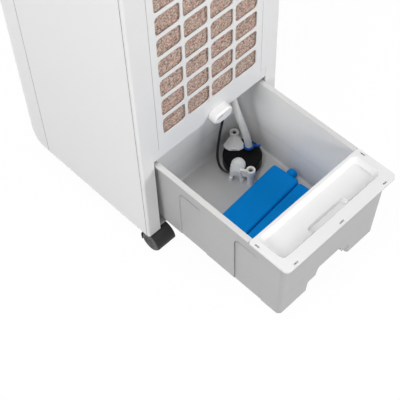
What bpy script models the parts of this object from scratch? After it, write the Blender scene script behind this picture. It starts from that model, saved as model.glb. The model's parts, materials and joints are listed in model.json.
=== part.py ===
"""An evaporative cooler on casters, with its water tank drawn out at the rear.

Metres, +Z up. The rear, with the intake grille and the tank, faces +Y, and the air outlet faces -Y.
Shapes are written in the body's own frame: y = 0 is the rear face and z = 0 is the floor. The empty
"cooler" carries everything and puts the origin under the middle of the whole object.
"""

import math

import bmesh
import bpy
from mathutils import Vector

# Body
BODY_WIDTH = 0.300
BODY_DEPTH = 0.342  # at the middle of the bowed front
BODY_TOP = 0.800  # above the floor
BODY_CLEARANCE = 0.045  # from the floor to the underside
SEAM_DEPTH = 0.261  # from the rear face to the joint between the two shells
SEAM_GAP = 0.0008  # the shadow line of that joint
FRONT_ROUNDNESS = 4.0  # exponent of the superellipse that the front follows
FOOT_ROUND = 0.030  # radius along the front's bottom edge
FOOT_SWEEP = 60.0  # degrees of that round
WALL = 0.0025
REAR_WALL = 0.004
REAR_EDGE = 0.004  # radius of the two rear upright edges
PARTING = 0.0010  # width and depth of the groove beside each of them
COVER_HEIGHT = 0.030
COVER_ROUND = 0.010
BASE_THICK = 0.003
FIT = 0.0003  # clearance where pieces touch

# Intake grille
BAY_HEIGHT = 0.1816  # tank bay, up to the grille's bottom edge
BAY_WIDTH = 0.248
BAY_FLANGE_DEPTH = 0.050
BAY_FLANGE_FOOT = 0.030  # the flanges start this far above the body's underside
GRILLE_WIDTH = 0.223
GRILLE_THICK = 0.002
GRILLE_LIP_HEIGHT = 0.020  # the wider foot of the grille, across the bay
GRILLE_MARGIN = 0.025  # above the top row of windows
WINDOW_COLUMNS = 4
WINDOW_ROWS = 11
WINDOW_PITCH_X = 0.051
WINDOW_PITCH_Z = 0.041
WINDOW_WIDTH = 0.0465
WINDOW_HEIGHT = 0.0350
WINDOW_RADIUS = 0.006
WINDOW_SILL = 0.0455  # from the grille's bottom edge to the first row
GRILLE_LEDGE = 0.004  # overlap of the housing's ledge behind the grille's edge
LEDGE_THICK = 0.0025

# Latch under the grille
LATCH_X = -0.0125
LATCH_Z = 0.007  # above the grille's bottom edge
LATCH_LENGTH = 0.040
LATCH_HEIGHT = 0.022
LATCH_DEPTH = 0.016
LATCH_SHAFT = 0.004
LATCH_SLOT = (0.013, 0.003, 0.008)  # length, height, depth
LATCH_SLOT_X = 0.0085  # from the latch's axis
LATCH_SLOT_Z = 0.003

# Pad, water trough and riser
PAD_WIDTH = 0.212
PAD_THICK = 0.0398
PAD_LIFT = 0.024  # above the grille's bottom edge
TROUGH_WIDTH = 0.222
TROUGH_HEIGHT = 0.024
TROUGH_WALL = 0.0015
TROUGH_APRON = 0.020  # how far the trough reaches past the pad's inner face
DRIP_HOLES = 9
DRIP_RADIUS = 0.0015
DECK_THICK = 0.003
DECK_RIB_THICK = 0.004
RISER_RADIUS = 0.004
RISER_TURN = 0.012  # height of the elbow above the deck's underside
NIPPLE_LENGTH = 0.009

# Blower
BLOWER_HEIGHT = 0.405
SCROLL_REAR = 0.135
SCROLL_DEPTH = 0.115
SCROLL_WALL = 0.002
SCROLL_NEAR = 0.092
SCROLL_FAR = 0.132
SCROLL_TOP = 0.715
SCROLL_DUCT_HALF = 0.112
CUTOFF_ANGLE = 130.0
INLET_RADIUS = 0.070
WHEEL_RADIUS = 0.082
WHEEL_INNER = 0.070
WHEEL_WIDTH = 0.085
WHEEL_BLADES = 24
BLADE_THICK = 0.0012
WHEEL_PLATE = 0.003
WHEEL_HUB = 0.012
WHEEL_HUB_LENGTH = 0.030
SHAFT_RADIUS = 0.004
MOTOR_RADIUS = 0.040
MOTOR_LENGTH = 0.050

# Outlet
OUTLET_WIDTH = 0.202
OUTLET_HEIGHT = 0.135
OUTLET_MIDDLE = 0.630
OUTLET_PROUD = 0.001
FRAME_WALL = 0.004
LOUVRES = 5
LOUVRE_PITCH = 0.026
LOUVRE_CHORD = 0.022
LOUVRE_THICK = 0.0024
LOUVRE_SETBACK = 0.024  # pivots behind the middle of the bow
VANES = 4
VANE_PITCH = 0.048
VANE_CHORD = 0.024
VANE_THICK = 0.002
VANE_SETBACK = 0.057
PIN_RADIUS = 0.0015
PIN_LENGTH = 0.003
CRANK = 0.012
CRANK_THICK = 0.0025
LINK_THICK = 0.0030
LINK_WIDTH = 0.006
SWING_MOTOR_RADIUS = 0.018
SWING_MOTOR_HEIGHT = 0.016

# Controls on the top
PANEL_WIDTH = 0.170
PANEL_LENGTH = 0.056
PANEL_SETBACK = 0.024  # from the front of the bow
PANEL_THICK = 0.0025
PANEL_RIM = 0.005
BUTTONS = 5
BUTTON_PITCH = 0.021
BUTTON_FIRST = -0.012
BUTTON_RADIUS = 0.007
BUTTON_PROUD = 0.002
BUTTON_STEM = 0.002
BUTTON_TRAVEL = 0.0015
LENS_WIDTH = 0.046
LENS_LENGTH = 0.024
LENS_X = -0.053
BOARD_DROP = 0.007
BOARD_THICK = 0.0016
POST_RADIUS = 0.0025

# Tank
TANK_REACH = 0.275  # how far it stands out of the body
TANK_STAY = 0.050  # how much of it stays inside the body
TANK_WIDTH = 0.2445
TANK_DROP = 0.0115  # rim below the grille's bottom edge
TANK_HEIGHT = 0.1605
TANK_WALL = 0.004
TANK_FLOOR = 0.003
TANK_LIP = 0.005  # the rim's overhang along the sides
TANK_FRONT_LIP = 0.011
TANK_INNER_LIP = 0.0015
TANK_LIP_HEIGHT = 0.006
TANK_RIM_EDGE = 0.0008
TANK_SIDE_DRAFT = 0.004
TANK_FRONT_DRAFT = 0.006
TANK_INNER_DRAFT = 0.003
TANK_FILLET = 0.010
TANK_CORNER = 0.008
TANK_INNER_CORNER = 0.028
POCKETS = 2
POCKET_WIDTH = 0.053
POCKET_PITCH = 0.1205
POCKET_FIRST = 0.059  # from the tank's outer end to the first pocket
POCKET_TOP = 0.0365  # below the rim
POCKET_RADIUS = 0.012
POCKET_TAPER = 0.003  # wider by this on both sides at the bottom
POCKET_DEPTH = 0.003
NOTCH_HALF = 0.049
NOTCH_HEIGHT = 0.031
GRIP_HALF = 0.028
GRIP_HEIGHT = 0.050
NOTCH_TAPER = 0.003
NOTCH_DEPTH = 0.036

# Tank lid
LID_LENGTH = 0.077
LID_THICK = 0.0035
TRAY_SIDE = 0.0135
TRAY_FRONT = 0.020
TRAY_REAR = 0.005
TRAY_DEPTH = 0.009
TRAY_SLOPE = 0.006  # the floor is drawn in by this
TRAY_WALL = 0.0018
TRAY_CORNER = 0.010
FINGER_HALF = 0.0445
FINGER_LENGTH = 0.021
FINGER_DEPTH = 0.006
SLOT_LENGTH = 0.009
SLOT_WIDTH = 0.003
SLOT_EDGE = 0.0045
SLOT_SIDE_X = 0.099
SLOT_SIDE_Y = 0.013

# Ice packs
PACK_LENGTH = 0.172
PACK_WIDTH = 0.055
PACK_THICK = 0.030
PACK_CORNER = 0.006
PACK_EDGE = 0.005
PACK_TURN = 4.0
PACK_Y = (0.0965, 0.1528)
PACK_X = (0.000, -0.001)
CAP_RADIUS = 0.009
CAP_LENGTH = 0.015
CAP_OFFSET = 0.003

# Pump
PUMP_X = -0.0605
PUMP_Y = 0.0108
PUMP_RADIUS = 0.034
PUMP_HEIGHT = 0.020
PUMP_LIFT = 0.011
EAR_REACH = 0.043
EAR_ANGLE = 63.0
EAR_RADIUS = 0.008
EAR_COLUMN = 0.006
EAR_DEPTH = 0.010  # of the wide head of the column
EAR_HOLE = 0.0045
EAR_HEIGHT = 0.039  # above the tank's floor
LUG_ANGLE = 43.6
LUG_LENGTH = 0.035
LUG_HALF = 0.018
LUG_EDGE = 0.002
LUG_RIDGE = 0.0075
LUG_RIB = 0.0012  # height and half width of the rib along the ridge
COVER_ANGLE = 28.0
COVER_HALF = 0.013
COVER_REACH = 0.0385
COVER_START = 0.014
COVER_RISE = 0.0115  # of the vault over the pump's top
FOOT_RADIUS = 0.0035
FOOT_HEIGHT = 0.009
INLET_HALF = 0.006
INLET_TOP = 0.018
SPIGOT_X = -0.0149  # from the pump's axis
SPIGOT_Y = 0.0005
SPIGOT_RADIUS = 0.005
SPIGOT_LENGTH = 0.006
IMPELLER_RADIUS = 0.014
IMPELLER_HEIGHT = 0.006
CHAMBER_HEIGHT = 0.008
SCREW_HEAD = 0.0030
SCREW_SHANK = 0.0017

# Hose, clip and cable. Heights on the routes are measured from the grille's bottom edge.
HOSE_RADIUS = 0.0063
HOSE_STEPS = 8
HOSE_TOP_X = -0.066
HOSE_TOP_Y = -0.021
CLIP_BAND = 0.0020
CLIP_HEIGHT = 0.004
CLIP_TAIL = 0.011
CLIP_TURN = 135.0
CABLE_RADIUS = 0.0022
CABLE_TOP = (-0.048, -0.0165)
CABLE_ROUTE = (
    (-0.0435, -0.0167, -0.0447),
    (-0.0334, -0.0158, -0.0844),
    (-0.0231, -0.0116, -0.1188),
    (-0.0184, -0.0049, -0.1381),
    (-0.0182, 0.0042, -0.1486),
)
CABLE_END_HEIGHT = -0.152

# Casters and cord gland
CASTER_INSET = 0.024  # from the body's side to a rear swivel's axis
CASTER_FRONT_INSET = 0.043  # the same, for a front one
CASTER_REAR = 0.020  # from the rear face
CASTER_FRONT = 0.016  # from the seam
CASTER_TRAIL = 0.014
WHEEL_DIAMETER = 0.039
CASTER_HALF = 0.0195
HOOD_THICK = 0.0015
HOOD_GAP = 0.0008
HOOD_WEB = 0.0024  # half the thickness of the web between the wheels
AXLE_RADIUS = 0.003
STEM_RADIUS = 0.004
COLLAR_RADIUS = 0.0065
BOSS_RADIUS = 0.0075
BOSS_HEIGHT = 0.019
GLAND_RADIUS = 0.007
GLAND_BORE = 0.004
GLAND_LENGTH = 0.020
GLAND_DEPTH = 0.200
GLAND_HEIGHT = 0.300

# Steps of round stretches
FRONT_STEPS = 26
ROUND_STEPS = 4
CIRCLE = 14
WHEEL_CIRCLE = 16  # a multiple of four, so that a corner stands on the floor
SMALL_CIRCLE = 10

# Levels and planes worked out from the sizes above
HALF = BODY_WIDTH / 2
BOW = BODY_DEPTH - SEAM_DEPTH
Z_BASE = BODY_CLEARANCE
Z_PANEL = Z_BASE + BAY_HEIGHT
Z_SPLIT = BODY_TOP - COVER_HEIGHT
GRILLE_HEIGHT = WINDOW_SILL + (WINDOW_ROWS - 1) * WINDOW_PITCH_Z + WINDOW_HEIGHT + GRILLE_MARGIN
Z_GRILLE_TOP = Z_PANEL + GRILLE_HEIGHT
LEDGE_BACK = GRILLE_THICK + FIT + LEDGE_THICK
PAD_FRONT = GRILLE_THICK + FIT  # between the ledges, against the grille
TROUGH_FRONT = LEDGE_BACK + FIT
PAD_BACK = PAD_FRONT + PAD_THICK
Z_DECK = Z_PANEL + FIT
Z_DECK_TOP = Z_DECK + DECK_THICK
Z_PAD = Z_PANEL + PAD_LIFT
Z_TROUGH = Z_GRILLE_TOP
Z_RIM = Z_PANEL - TANK_DROP
Z_TANK = Z_RIM - TANK_HEIGHT
Z_WELL = Z_TANK + TANK_FLOOR
Z_PUMP = Z_WELL + PUMP_LIFT
Z_PUMP_TOP = Z_PUMP + PUMP_HEIGHT
Z_EAR = Z_WELL + EAR_HEIGHT
TANK_INNER = -TANK_STAY
LID_INNER = TANK_REACH - LID_LENGTH
RISER_Y = -PAD_BACK - FIT - 1.5 * RISER_RADIUS
SCROLL_FRONT = SCROLL_REAR + SCROLL_DEPTH
LOUVRE_Y = LOUVRE_SETBACK - BODY_DEPTH
VANE_Y = VANE_SETBACK - BODY_DEPTH
OUTLET_BOTTOM = OUTLET_MIDDLE - OUTLET_HEIGHT / 2
OUTLET_TOP = OUTLET_MIDDLE + OUTLET_HEIGHT / 2
AXLE_HEIGHT = WHEEL_DIAMETER / 2
SPIGOT = Vector((PUMP_X + SPIGOT_X, PUMP_Y + SPIGOT_Y, Z_PUMP_TOP + SPIGOT_LENGTH))


# Scene, materials and objects


def clear_scene():
    for obj in list(bpy.data.objects):
        bpy.data.objects.remove(obj)


def finish(name, colour, roughness, metallic=0.0):
    material = bpy.data.materials.new(name)
    material.use_nodes = True
    shader = material.node_tree.nodes["Principled BSDF"]
    shader.inputs["Base Color"].default_value = (*colour, 1.0)
    shader.inputs["Roughness"].default_value = roughness
    shader.inputs["Metallic"].default_value = metallic
    return material


def carrier(name, at, parent=None):
    """An empty that other pieces hang on; `at` is in the body's frame, or in the world for the root."""
    empty = bpy.data.objects.new(name, None)
    bpy.context.scene.collection.objects.link(empty)
    empty.parent = parent
    empty.location = Vector(at) - place_of(parent)
    return empty


def place_of(obj):
    """Where an object's origin lies in the body's frame. The root's own place isn't counted."""
    place = Vector()
    while obj is not None and obj.parent is not None:
        place += obj.location
        obj = obj.parent
    return place


def mesh_object(name, shape, at, parent):
    mesh = bpy.data.meshes.new(name)
    bmesh.ops.translate(shape, verts=shape.verts, vec=-Vector(at))
    shape.to_mesh(mesh)
    shape.free()
    obj = bpy.data.objects.new(name, mesh)
    bpy.context.scene.collection.objects.link(obj)
    obj.parent = parent
    obj.location = Vector(at) - place_of(parent)
    return obj


def piece(name, shape, material, parent, at=(0, 0, 0)):
    """One part of the cooler, with its origin at `at` in the body's frame."""
    obj = mesh_object(name, shape, at, parent)
    obj.data.materials.append(material)
    obj.data.shade_smooth()
    obj.data.set_sharp_from_angle(angle=math.radians(35))
    return obj


def change(obj, operation, shape):
    """A Boolean with a hidden helper made from `shape`, which is returned."""
    number = len(obj.modifiers) + 1
    helper = mesh_object(f"{obj.name}_tool_{number}", shape, (0, 0, 0), root_of(obj))
    helper.hide_render = True
    helper.display_type = "WIRE"
    modifier = obj.modifiers.new(f"{operation.lower()} {number}", "BOOLEAN")
    modifier.operation = operation
    modifier.solver = "EXACT"
    modifier.object = helper
    return helper


def cut(obj, shape):
    return change(obj, "DIFFERENCE", shape)


def join(obj, shape):
    return change(obj, "UNION", shape)


def root_of(obj):
    while obj.parent is not None:
        obj = obj.parent
    return obj


# Outlines and shapes


def circle(radius, sides, centre=(0, 0)):
    turns = [2 * math.pi * i / sides for i in range(sides)]
    return [(centre[0] + radius * math.cos(t), centre[1] + radius * math.sin(t)) for t in turns]


def rectangle(low, high):
    return [(low[0], low[1]), (high[0], low[1]), (high[0], high[1]), (low[0], high[1])]


def arc(centre, radius, start, end, steps):
    """Points on an arc between two angles in degrees."""
    turns = [math.radians(start + (end - start) * i / steps) for i in range(steps + 1)]
    return [(centre[0] + radius * math.cos(t), centre[1] + radius * math.sin(t)) for t in turns]


def rounded(low, high, radii, steps=ROUND_STEPS):
    """A rectangle whose corners, from low-low on counterclockwise, have these radii."""
    (x0, y0), (x1, y1) = low, high
    r0, r1, r2, r3 = radii
    return (
        arc((x0 + r0, y0 + r0), r0, 180, 270, steps)
        + arc((x1 - r1, y0 + r1), r1, 270, 360, steps)
        + arc((x1 - r2, y1 - r2), r2, 0, 90, steps)
        + arc((x0 + r3, y1 - r3), r3, 90, 180, steps)
    )


def stadium(half_length, radius, steps=6):
    inner = half_length - radius
    return arc((inner, 0), radius, -90, 90, steps) + arc((-inner, 0), radius, 90, 270, steps)


def moved(outline, dx, dy):
    return [(x + dx, y + dy) for x, y in outline]


def lens(chord, thick, sides=SMALL_CIRCLE):
    """An ellipse as long as the chord, for a thin blade."""
    return [(x * chord / 2, y * thick / 2) for x, y in circle(1.0, sides)]


def on_axis(axis, a, b, along):
    """A point from two coordinates across an axis and one along it."""
    return {"X": (along, a, b), "Y": (a, along, b), "Z": (a, b, along)}[axis]


def loft(rings):
    """One closed body through rings of equally many points, with flat ends."""
    shape = bmesh.new()
    rows = [[shape.verts.new(point) for point in ring] for ring in rings]
    for low, high in zip(rows, rows[1:]):
        for i in range(len(low)):
            j = (i + 1) % len(low)
            shape.faces.new((low[i], low[j], high[j], high[i]))
    shape.faces.new(rows[0])
    shape.faces.new(rows[-1])
    bmesh.ops.recalc_face_normals(shape, faces=shape.faces)
    return shape


def sections(axis, outlines):
    """A loft along an axis, from pairs of an outline and where it lies."""
    return loft([[on_axis(axis, a, b, along) for a, b in outline] for outline, along in outlines])


def prism(axis, outline, low, high):
    return sections(axis, [(outline, low), (outline, high)])


def block(low, high):
    return prism("Z", rectangle(low[:2], high[:2]), low[2], high[2])


def rod(axis, centre, radius, low, high, sides=CIRCLE):
    return prism(axis, circle(radius, sides, centre), low, high)


def turned(axis, centre, profile, sides=CIRCLE):
    """A turned solid from pairs of radius and place along the axis."""
    return sections(axis, [(circle(radius, sides, centre), along) for radius, along in profile])


def together(shapes):
    """Several separate bodies in one mesh, as a tool for one Boolean."""
    whole = bmesh.new()
    for shape in shapes:
        mesh = bpy.data.meshes.new("together")
        shape.to_mesh(mesh)
        shape.free()
        whole.from_mesh(mesh)
        bpy.data.meshes.remove(mesh)
    return whole


def turn(shape, degrees, centre):
    """Turns a shape about an upright axis."""
    angle = math.radians(degrees)
    for vertex in shape.verts:
        x, y = vertex.co.x - centre[0], vertex.co.y - centre[1]
        vertex.co.x = centre[0] + x * math.cos(angle) - y * math.sin(angle)
        vertex.co.y = centre[1] + x * math.sin(angle) + y * math.cos(angle)
    return shape


def lean(shape, slope, level):
    """Shears a shape along X in proportion to its height over a level."""
    for vertex in shape.verts:
        vertex.co.x += slope * (vertex.co.z - level)
    return shape


def offset(outline, distance):
    """A closed outline moved inwards; the outline runs counterclockwise."""
    count = len(outline)
    result = []
    for i, (x, y) in enumerate(outline):
        before, after = Vector(outline[i - 1]), Vector(outline[(i + 1) % count])
        here = Vector((x, y))
        first, second = (here - before).normalized(), (after - here).normalized()
        normal_1, normal_2 = Vector((-first.y, first.x)), Vector((-second.y, second.x))
        middle = (normal_1 + normal_2).normalized()
        reach = distance / max(middle.dot(normal_1), 0.5)
        result.append((x + middle.x * reach, y + middle.y * reach))
    return result


def smooth_route(points, per_span):
    """Points on a Catmull-Rom curve through a route."""
    route = [Vector(p) for p in points]
    padded = [2 * route[0] - route[1], *route, 2 * route[-1] - route[-2]]
    result = []
    for a, b, c, d in zip(padded, padded[1:], padded[2:], padded[3:]):
        for i in range(per_span):
            t = i / per_span
            square = (2 * a - 5 * b + 4 * c - d) * t**2
            cube = (3 * b - a - 3 * c + d) * t**3
            result.append(0.5 * (2 * b + (c - a) * t + square + cube))
    return [*result, route[-1]]


def tube(name, points, radius, material, parent, resolution=2):
    """A round bar along points in the body's frame, as a curve with filled ends."""
    curve = bpy.data.curves.new(name, "CURVE")
    curve.dimensions = "3D"
    curve.bevel_depth = radius
    curve.bevel_resolution = resolution
    curve.use_fill_caps = True
    spline = curve.splines.new("POLY")
    spline.points.add(len(points) - 1)
    for place, point in zip(spline.points, points):
        place.co = (*(Vector(point) - place_of(parent)), 1.0)
    curve.materials.append(material)
    obj = bpy.data.objects.new(name, curve)
    bpy.context.scene.collection.objects.link(obj)
    obj.parent = parent
    return obj


# Body shells


def front_arc(half, depth):
    """Half a superellipse, from +X to -X: |x / half|^n + |d / depth|^n = 1, with d ahead of the seam."""
    power = 2 / FRONT_ROUNDNESS
    points = []
    for i in range(FRONT_STEPS + 1):
        t = math.pi * i / FRONT_STEPS
        x = math.copysign(abs(math.cos(t)) ** power, math.cos(t)) * half
        points.append((x, -SEAM_DEPTH - depth * max(math.sin(t), 0.0) ** power))
    return points


def rear_edge(half, rear):
    """The rear side of a plan, from -X to +X, with its two rounded corners."""
    left = arc((-half + REAR_EDGE, -rear - REAR_EDGE), REAR_EDGE, 180, 90, ROUND_STEPS)
    return left + [(-x, y) for x, y in reversed(left)]


def plan(side, rear, front):
    """The body seen from above, drawn in by these amounts."""
    return rear_edge(HALF - side, rear) + front_arc(HALF - side, BOW - front)


def foot_levels():
    """Height, outer inset and inner inset of the front shell's rounded foot, from the bottom up."""
    inner_round = FOOT_ROUND - WALL
    lowest = FOOT_ROUND * math.sin(math.radians(FOOT_SWEEP))
    for i in range(ROUND_STEPS + 1):
        angle = math.radians(FOOT_SWEEP * (1 - i / ROUND_STEPS))
        drop = FOOT_ROUND * math.sin(angle)
        inner_angle = math.asin(min(drop / inner_round, 1.0))
        outer = FOOT_ROUND * (1 - math.cos(angle))
        inner = WALL + inner_round * (1 - math.cos(inner_angle))
        yield Z_BASE + lowest - drop, outer, inner


def outlet_hole(grow):
    """The outlet frame's outer box, grown, right through the front."""
    half = OUTLET_WIDTH / 2 + FRAME_WALL + grow
    low = OUTLET_BOTTOM - FRAME_WALL - grow
    high = OUTLET_TOP + FRAME_WALL + grow
    return block((-half, -BODY_DEPTH - BOW, low), (half, -SCROLL_FRONT - FIT, high))


def rear_housing(root, white):
    front = SEAM_GAP - SEAM_DEPTH
    outline = rear_edge(HALF, 0) + [(HALF, front), (-HALF, front)]
    housing = piece("rear_housing", prism("Z", outline, Z_BASE, Z_SPLIT - FIT), white, root)
    inside = HALF - WALL
    cut(housing, block((-inside, -BODY_DEPTH, Z_BASE - WALL), (inside, -REAR_WALL, BODY_TOP)))
    grille = GRILLE_WIDTH / 2 + 2 * FIT
    bay_top = Z_PANEL + GRILLE_LIP_HEIGHT + FIT
    middle = (bay_top + Z_PANEL) / 2
    cut(housing, block((-grille, -WALL - REAR_WALL, middle), (grille, WALL, Z_GRILLE_TOP + FIT)))
    bay = BAY_WIDTH / 2
    cut(housing, block((-bay, -WALL - REAR_WALL, Z_BASE - WALL), (bay, WALL, bay_top)))
    ledge_low, ledge_high = GRILLE_WIDTH / 2 - GRILLE_LEDGE, GRILLE_WIDTH / 2 + GRILLE_LEDGE
    ledge_front = -GRILLE_THICK - FIT
    for side in (-1, 1):
        x = sorted((side * ledge_low, side * ledge_high))
        top = Z_GRILLE_TOP + GRILLE_LEDGE
        join(housing, block((x[0], -LEDGE_BACK, bay_top + WALL), (x[1], ledge_front, top)))
        x = sorted((side * bay, side * (bay + WALL)))
        foot = Z_BASE + BAY_FLANGE_FOOT
        flange_top = Z_PANEL - FIT
        join(housing, block((x[0], -BAY_FLANGE_DEPTH, foot), (x[1], -REAR_WALL / 2, flange_top)))
    gland = rod("X", (-GLAND_DEPTH, GLAND_HEIGHT), GLAND_RADIUS + FIT, -HALF - WALL, WALL - inside)
    cut(housing, gland)
    grooves = []
    for side in (-1, 1):
        x = sorted((side * (HALF - PARTING), side * (HALF + WALL)))
        y = -REAR_EDGE - PARTING
        grooves.append(block((x[0], y - PARTING, Z_BASE - WALL), (x[1], y, BODY_TOP)))
    cut(housing, together(grooves))


def front_shell(root, white):
    levels = [*foot_levels(), (Z_SPLIT - FIT, 0.0, WALL)]
    rings = []
    for z, outer, inner in levels:
        outside = front_arc(HALF, BOW - outer)
        inside = front_arc(HALF - WALL, BOW - inner)
        rings.append([(x, y, z) for x, y in outside + inside[::-1]])
    shell = piece("front_shell", loft(rings), white, root)
    cut(shell, outlet_hole(FIT))


def base_pan(root, grey):
    low, top = Z_BASE + FIT, Z_BASE + FIT + BASE_THICK
    _, _, foot_inset = next(foot_levels())
    outline = plan(WALL + FIT, REAR_WALL + FIT, foot_inset + FIT)
    pan = piece("base_pan", prism("Z", outline, low, top), grey, root)
    for x, y, boss in caster_places():
        join(pan, rod("Z", (x, y), BOSS_RADIUS, low + BASE_THICK / 2, Z_BASE + boss))
        cut(pan, rod("Z", (x, y), STEM_RADIUS + FIT, 0, Z_BASE + 2 * boss))


def tank_rails(root, grey):
    """Two runners on the base pan, under the flat of the tank's floor, each with an outer guide."""
    low, top = Z_BASE + 2 * FIT + BASE_THICK, Z_TANK - FIT
    floor_half = TANK_WIDTH / 2 - TANK_LIP - TANK_SIDE_DRAFT - TANK_FILLET
    width = 2 * TANK_FILLET
    for name, side in (("tank_rail_left", 1), ("tank_rail_right", -1)):
        x = sorted((side * (floor_half - width), side * floor_half))
        y = (FOOT_ROUND - BODY_DEPTH, -2 * REAR_WALL)
        rail = piece(name, block((x[0], y[0], low), (x[1], y[1], top)), grey, root)
        bosses = [(a, b) for a, b, _ in caster_places() if a * side > 0]
        cut(rail, together([rod("Z", at, BOSS_RADIUS + FIT, low - WALL, top + WALL) for at in bosses]))


def mid_deck(root, grey):
    outline = plan(WALL + FIT, REAR_WALL + FIT, WALL + FIT)
    deck = piece("mid_deck", prism("Z", outline, Z_DECK, Z_DECK_TOP), grey, root)
    back, front = -PAD_BACK, -TROUGH_FRONT
    rib_half = DECK_RIB_THICK / 2
    for x in (-PAD_WIDTH / 2 + DECK_RIB_THICK, 0, PAD_WIDTH / 2 - DECK_RIB_THICK):
        low = (x - rib_half, back, Z_DECK_TOP - DECK_THICK / 2)
        join(deck, block(low, (x + rib_half, front, Z_PAD - FIT)))
    slot_back, slot_front = back + DECK_RIB_THICK, back + PAD_THICK / 3
    slots = []
    for side in (-1, 1):
        x = sorted((side * 4 * DECK_RIB_THICK, side * (PAD_WIDTH / 2 - 4 * DECK_RIB_THICK)))
        slots.append(block((x[0], slot_back, Z_PANEL - WALL), (x[1], slot_front, Z_DECK_TOP + WALL)))
    cut(deck, together(slots))
    bores = [((HOSE_TOP_X, HOSE_TOP_Y), RISER_RADIUS), (CABLE_TOP, CABLE_RADIUS)]
    low, top = Z_PANEL - WALL, Z_DECK_TOP + WALL
    cut(deck, together([rod("Z", at, radius + FIT, low, top) for at, radius in bores]))


def top_cover(root, white):
    rings = [(0.0, Z_SPLIT)]
    for i in range(ROUND_STEPS + 1):
        angle = math.radians(90 * i / ROUND_STEPS)
        inset = COVER_ROUND * (1 - math.cos(angle))
        rings.append((inset, BODY_TOP - COVER_ROUND * (1 - math.sin(angle))))
    cover = piece("top_cover", sections("Z", [(plan(i, i, i), z) for i, z in rings]), white, root)
    hollow = COVER_ROUND
    cavity = [
        (plan(WALL, WALL, WALL), Z_SPLIT - WALL),
        (plan(WALL, WALL, WALL), BODY_TOP - COVER_ROUND),
        (plan(hollow, hollow, hollow), BODY_TOP - WALL),
    ]
    cut(cover, sections("Z", cavity))
    low, high = panel_box()
    rim = PANEL_RIM
    sill = (low[0] - rim, low[1] - rim, BODY_TOP - 2 * WALL - PANEL_THICK)
    join(cover, block(sill, (high[0] + rim, high[1] + rim, BODY_TOP - WALL / 2)))
    cut(cover, block((*low, BODY_TOP - PANEL_THICK - FIT), (*high, BODY_TOP + WALL)))
    low, high = (low[0] + rim, low[1] + rim), (high[0] - rim, high[1] - rim)
    cut(cover, block((*low, BODY_TOP - COVER_ROUND), (*high, BODY_TOP + WALL)))


# Intake side


def grille_windows():
    """Low corners of the windows, column by column."""
    first = -(WINDOW_COLUMNS - 1) / 2 * WINDOW_PITCH_X - WINDOW_WIDTH / 2
    for column in range(WINDOW_COLUMNS):
        for row in range(WINDOW_ROWS):
            yield first + column * WINDOW_PITCH_X, Z_PANEL + WINDOW_SILL + row * WINDOW_PITCH_Z


def intake_grille(root, white):
    lip, half = BAY_WIDTH / 2 - FIT, GRILLE_WIDTH / 2
    shoulder = Z_PANEL + GRILLE_LIP_HEIGHT
    right = [(lip, Z_PANEL), (lip, shoulder), (half, shoulder), (half, Z_GRILLE_TOP)]
    outline = right + [(-x, z) for x, z in reversed(right)]
    grille = piece("intake_grille", prism("Y", outline, -GRILLE_THICK, 0), white, root)
    windows = []
    for x, z in grille_windows():
        window = rounded((x, z), (x + WINDOW_WIDTH, z + WINDOW_HEIGHT), [WINDOW_RADIUS] * 4, 2)
        windows.append(prism("Y", window, -2 * GRILLE_THICK, GRILLE_THICK))
    cut(grille, together(windows))
    hole = rod("Y", (LATCH_X, Z_PANEL + LATCH_Z), LATCH_SHAFT + FIT, -2 * GRILLE_THICK, GRILLE_THICK)
    cut(grille, hole)


def latch_knob(root, white):
    centre = (LATCH_X, Z_PANEL + LATCH_Z)
    outline = moved(stadium(LATCH_LENGTH / 2, LATCH_HEIGHT / 2), *centre)
    crown = moved(stadium(LATCH_LENGTH / 2 - WALL, LATCH_HEIGHT / 2 - WALL), *centre)
    depth = LATCH_DEPTH
    body = sections("Y", [(outline, FIT), (outline, depth - WALL), (crown, depth)])
    knob = piece("latch_knob", body, white, root, (centre[0], 0, centre[1]))
    join(knob, rod("Y", centre, LATCH_SHAFT, -GRILLE_THICK - FIT, depth / 2, SMALL_CIRCLE))
    length, height, slot_depth = LATCH_SLOT
    x, z = centre[0] + LATCH_SLOT_X, centre[1] + LATCH_SLOT_Z
    low = (x - length / 2, depth - slot_depth, z - height / 2)
    cut(knob, block(low, (x + length / 2, depth + slot_depth, z + height / 2)))


def cooling_pad(root, straw):
    half = PAD_WIDTH / 2
    shape = block((-half, -PAD_BACK, Z_PAD), (half, -PAD_FRONT, Z_TROUGH - FIT))
    piece("cooling_pad", shape, straw, root)


def water_trough(root, white):
    half, back = TROUGH_WIDTH / 2, -PAD_BACK - TROUGH_APRON
    shape = block((-half, back, Z_TROUGH), (half, -TROUGH_FRONT, Z_TROUGH + TROUGH_HEIGHT))
    trough = piece("water_trough", shape, white, root)
    wall = TROUGH_WALL
    low = (wall - half, back + wall, Z_TROUGH + wall)
    cut(trough, block(low, (half - wall, -TROUGH_FRONT - wall, Z_TROUGH + 2 * TROUGH_HEIGHT)))
    pitch = PAD_WIDTH / DRIP_HOLES
    middle = -(TROUGH_FRONT + PAD_BACK) / 2
    places = [((i - (DRIP_HOLES - 1) / 2) * pitch, middle) for i in range(DRIP_HOLES)]
    span = (Z_TROUGH - wall, Z_TROUGH + 3 * wall)
    holes = [rod("Z", at, DRIP_RADIUS, *span, 6) for at in places]
    holes.append(rod("Z", (HOSE_TOP_X, RISER_Y), RISER_RADIUS / 2, *span, SMALL_CIRCLE))
    cut(trough, together(holes))


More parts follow.
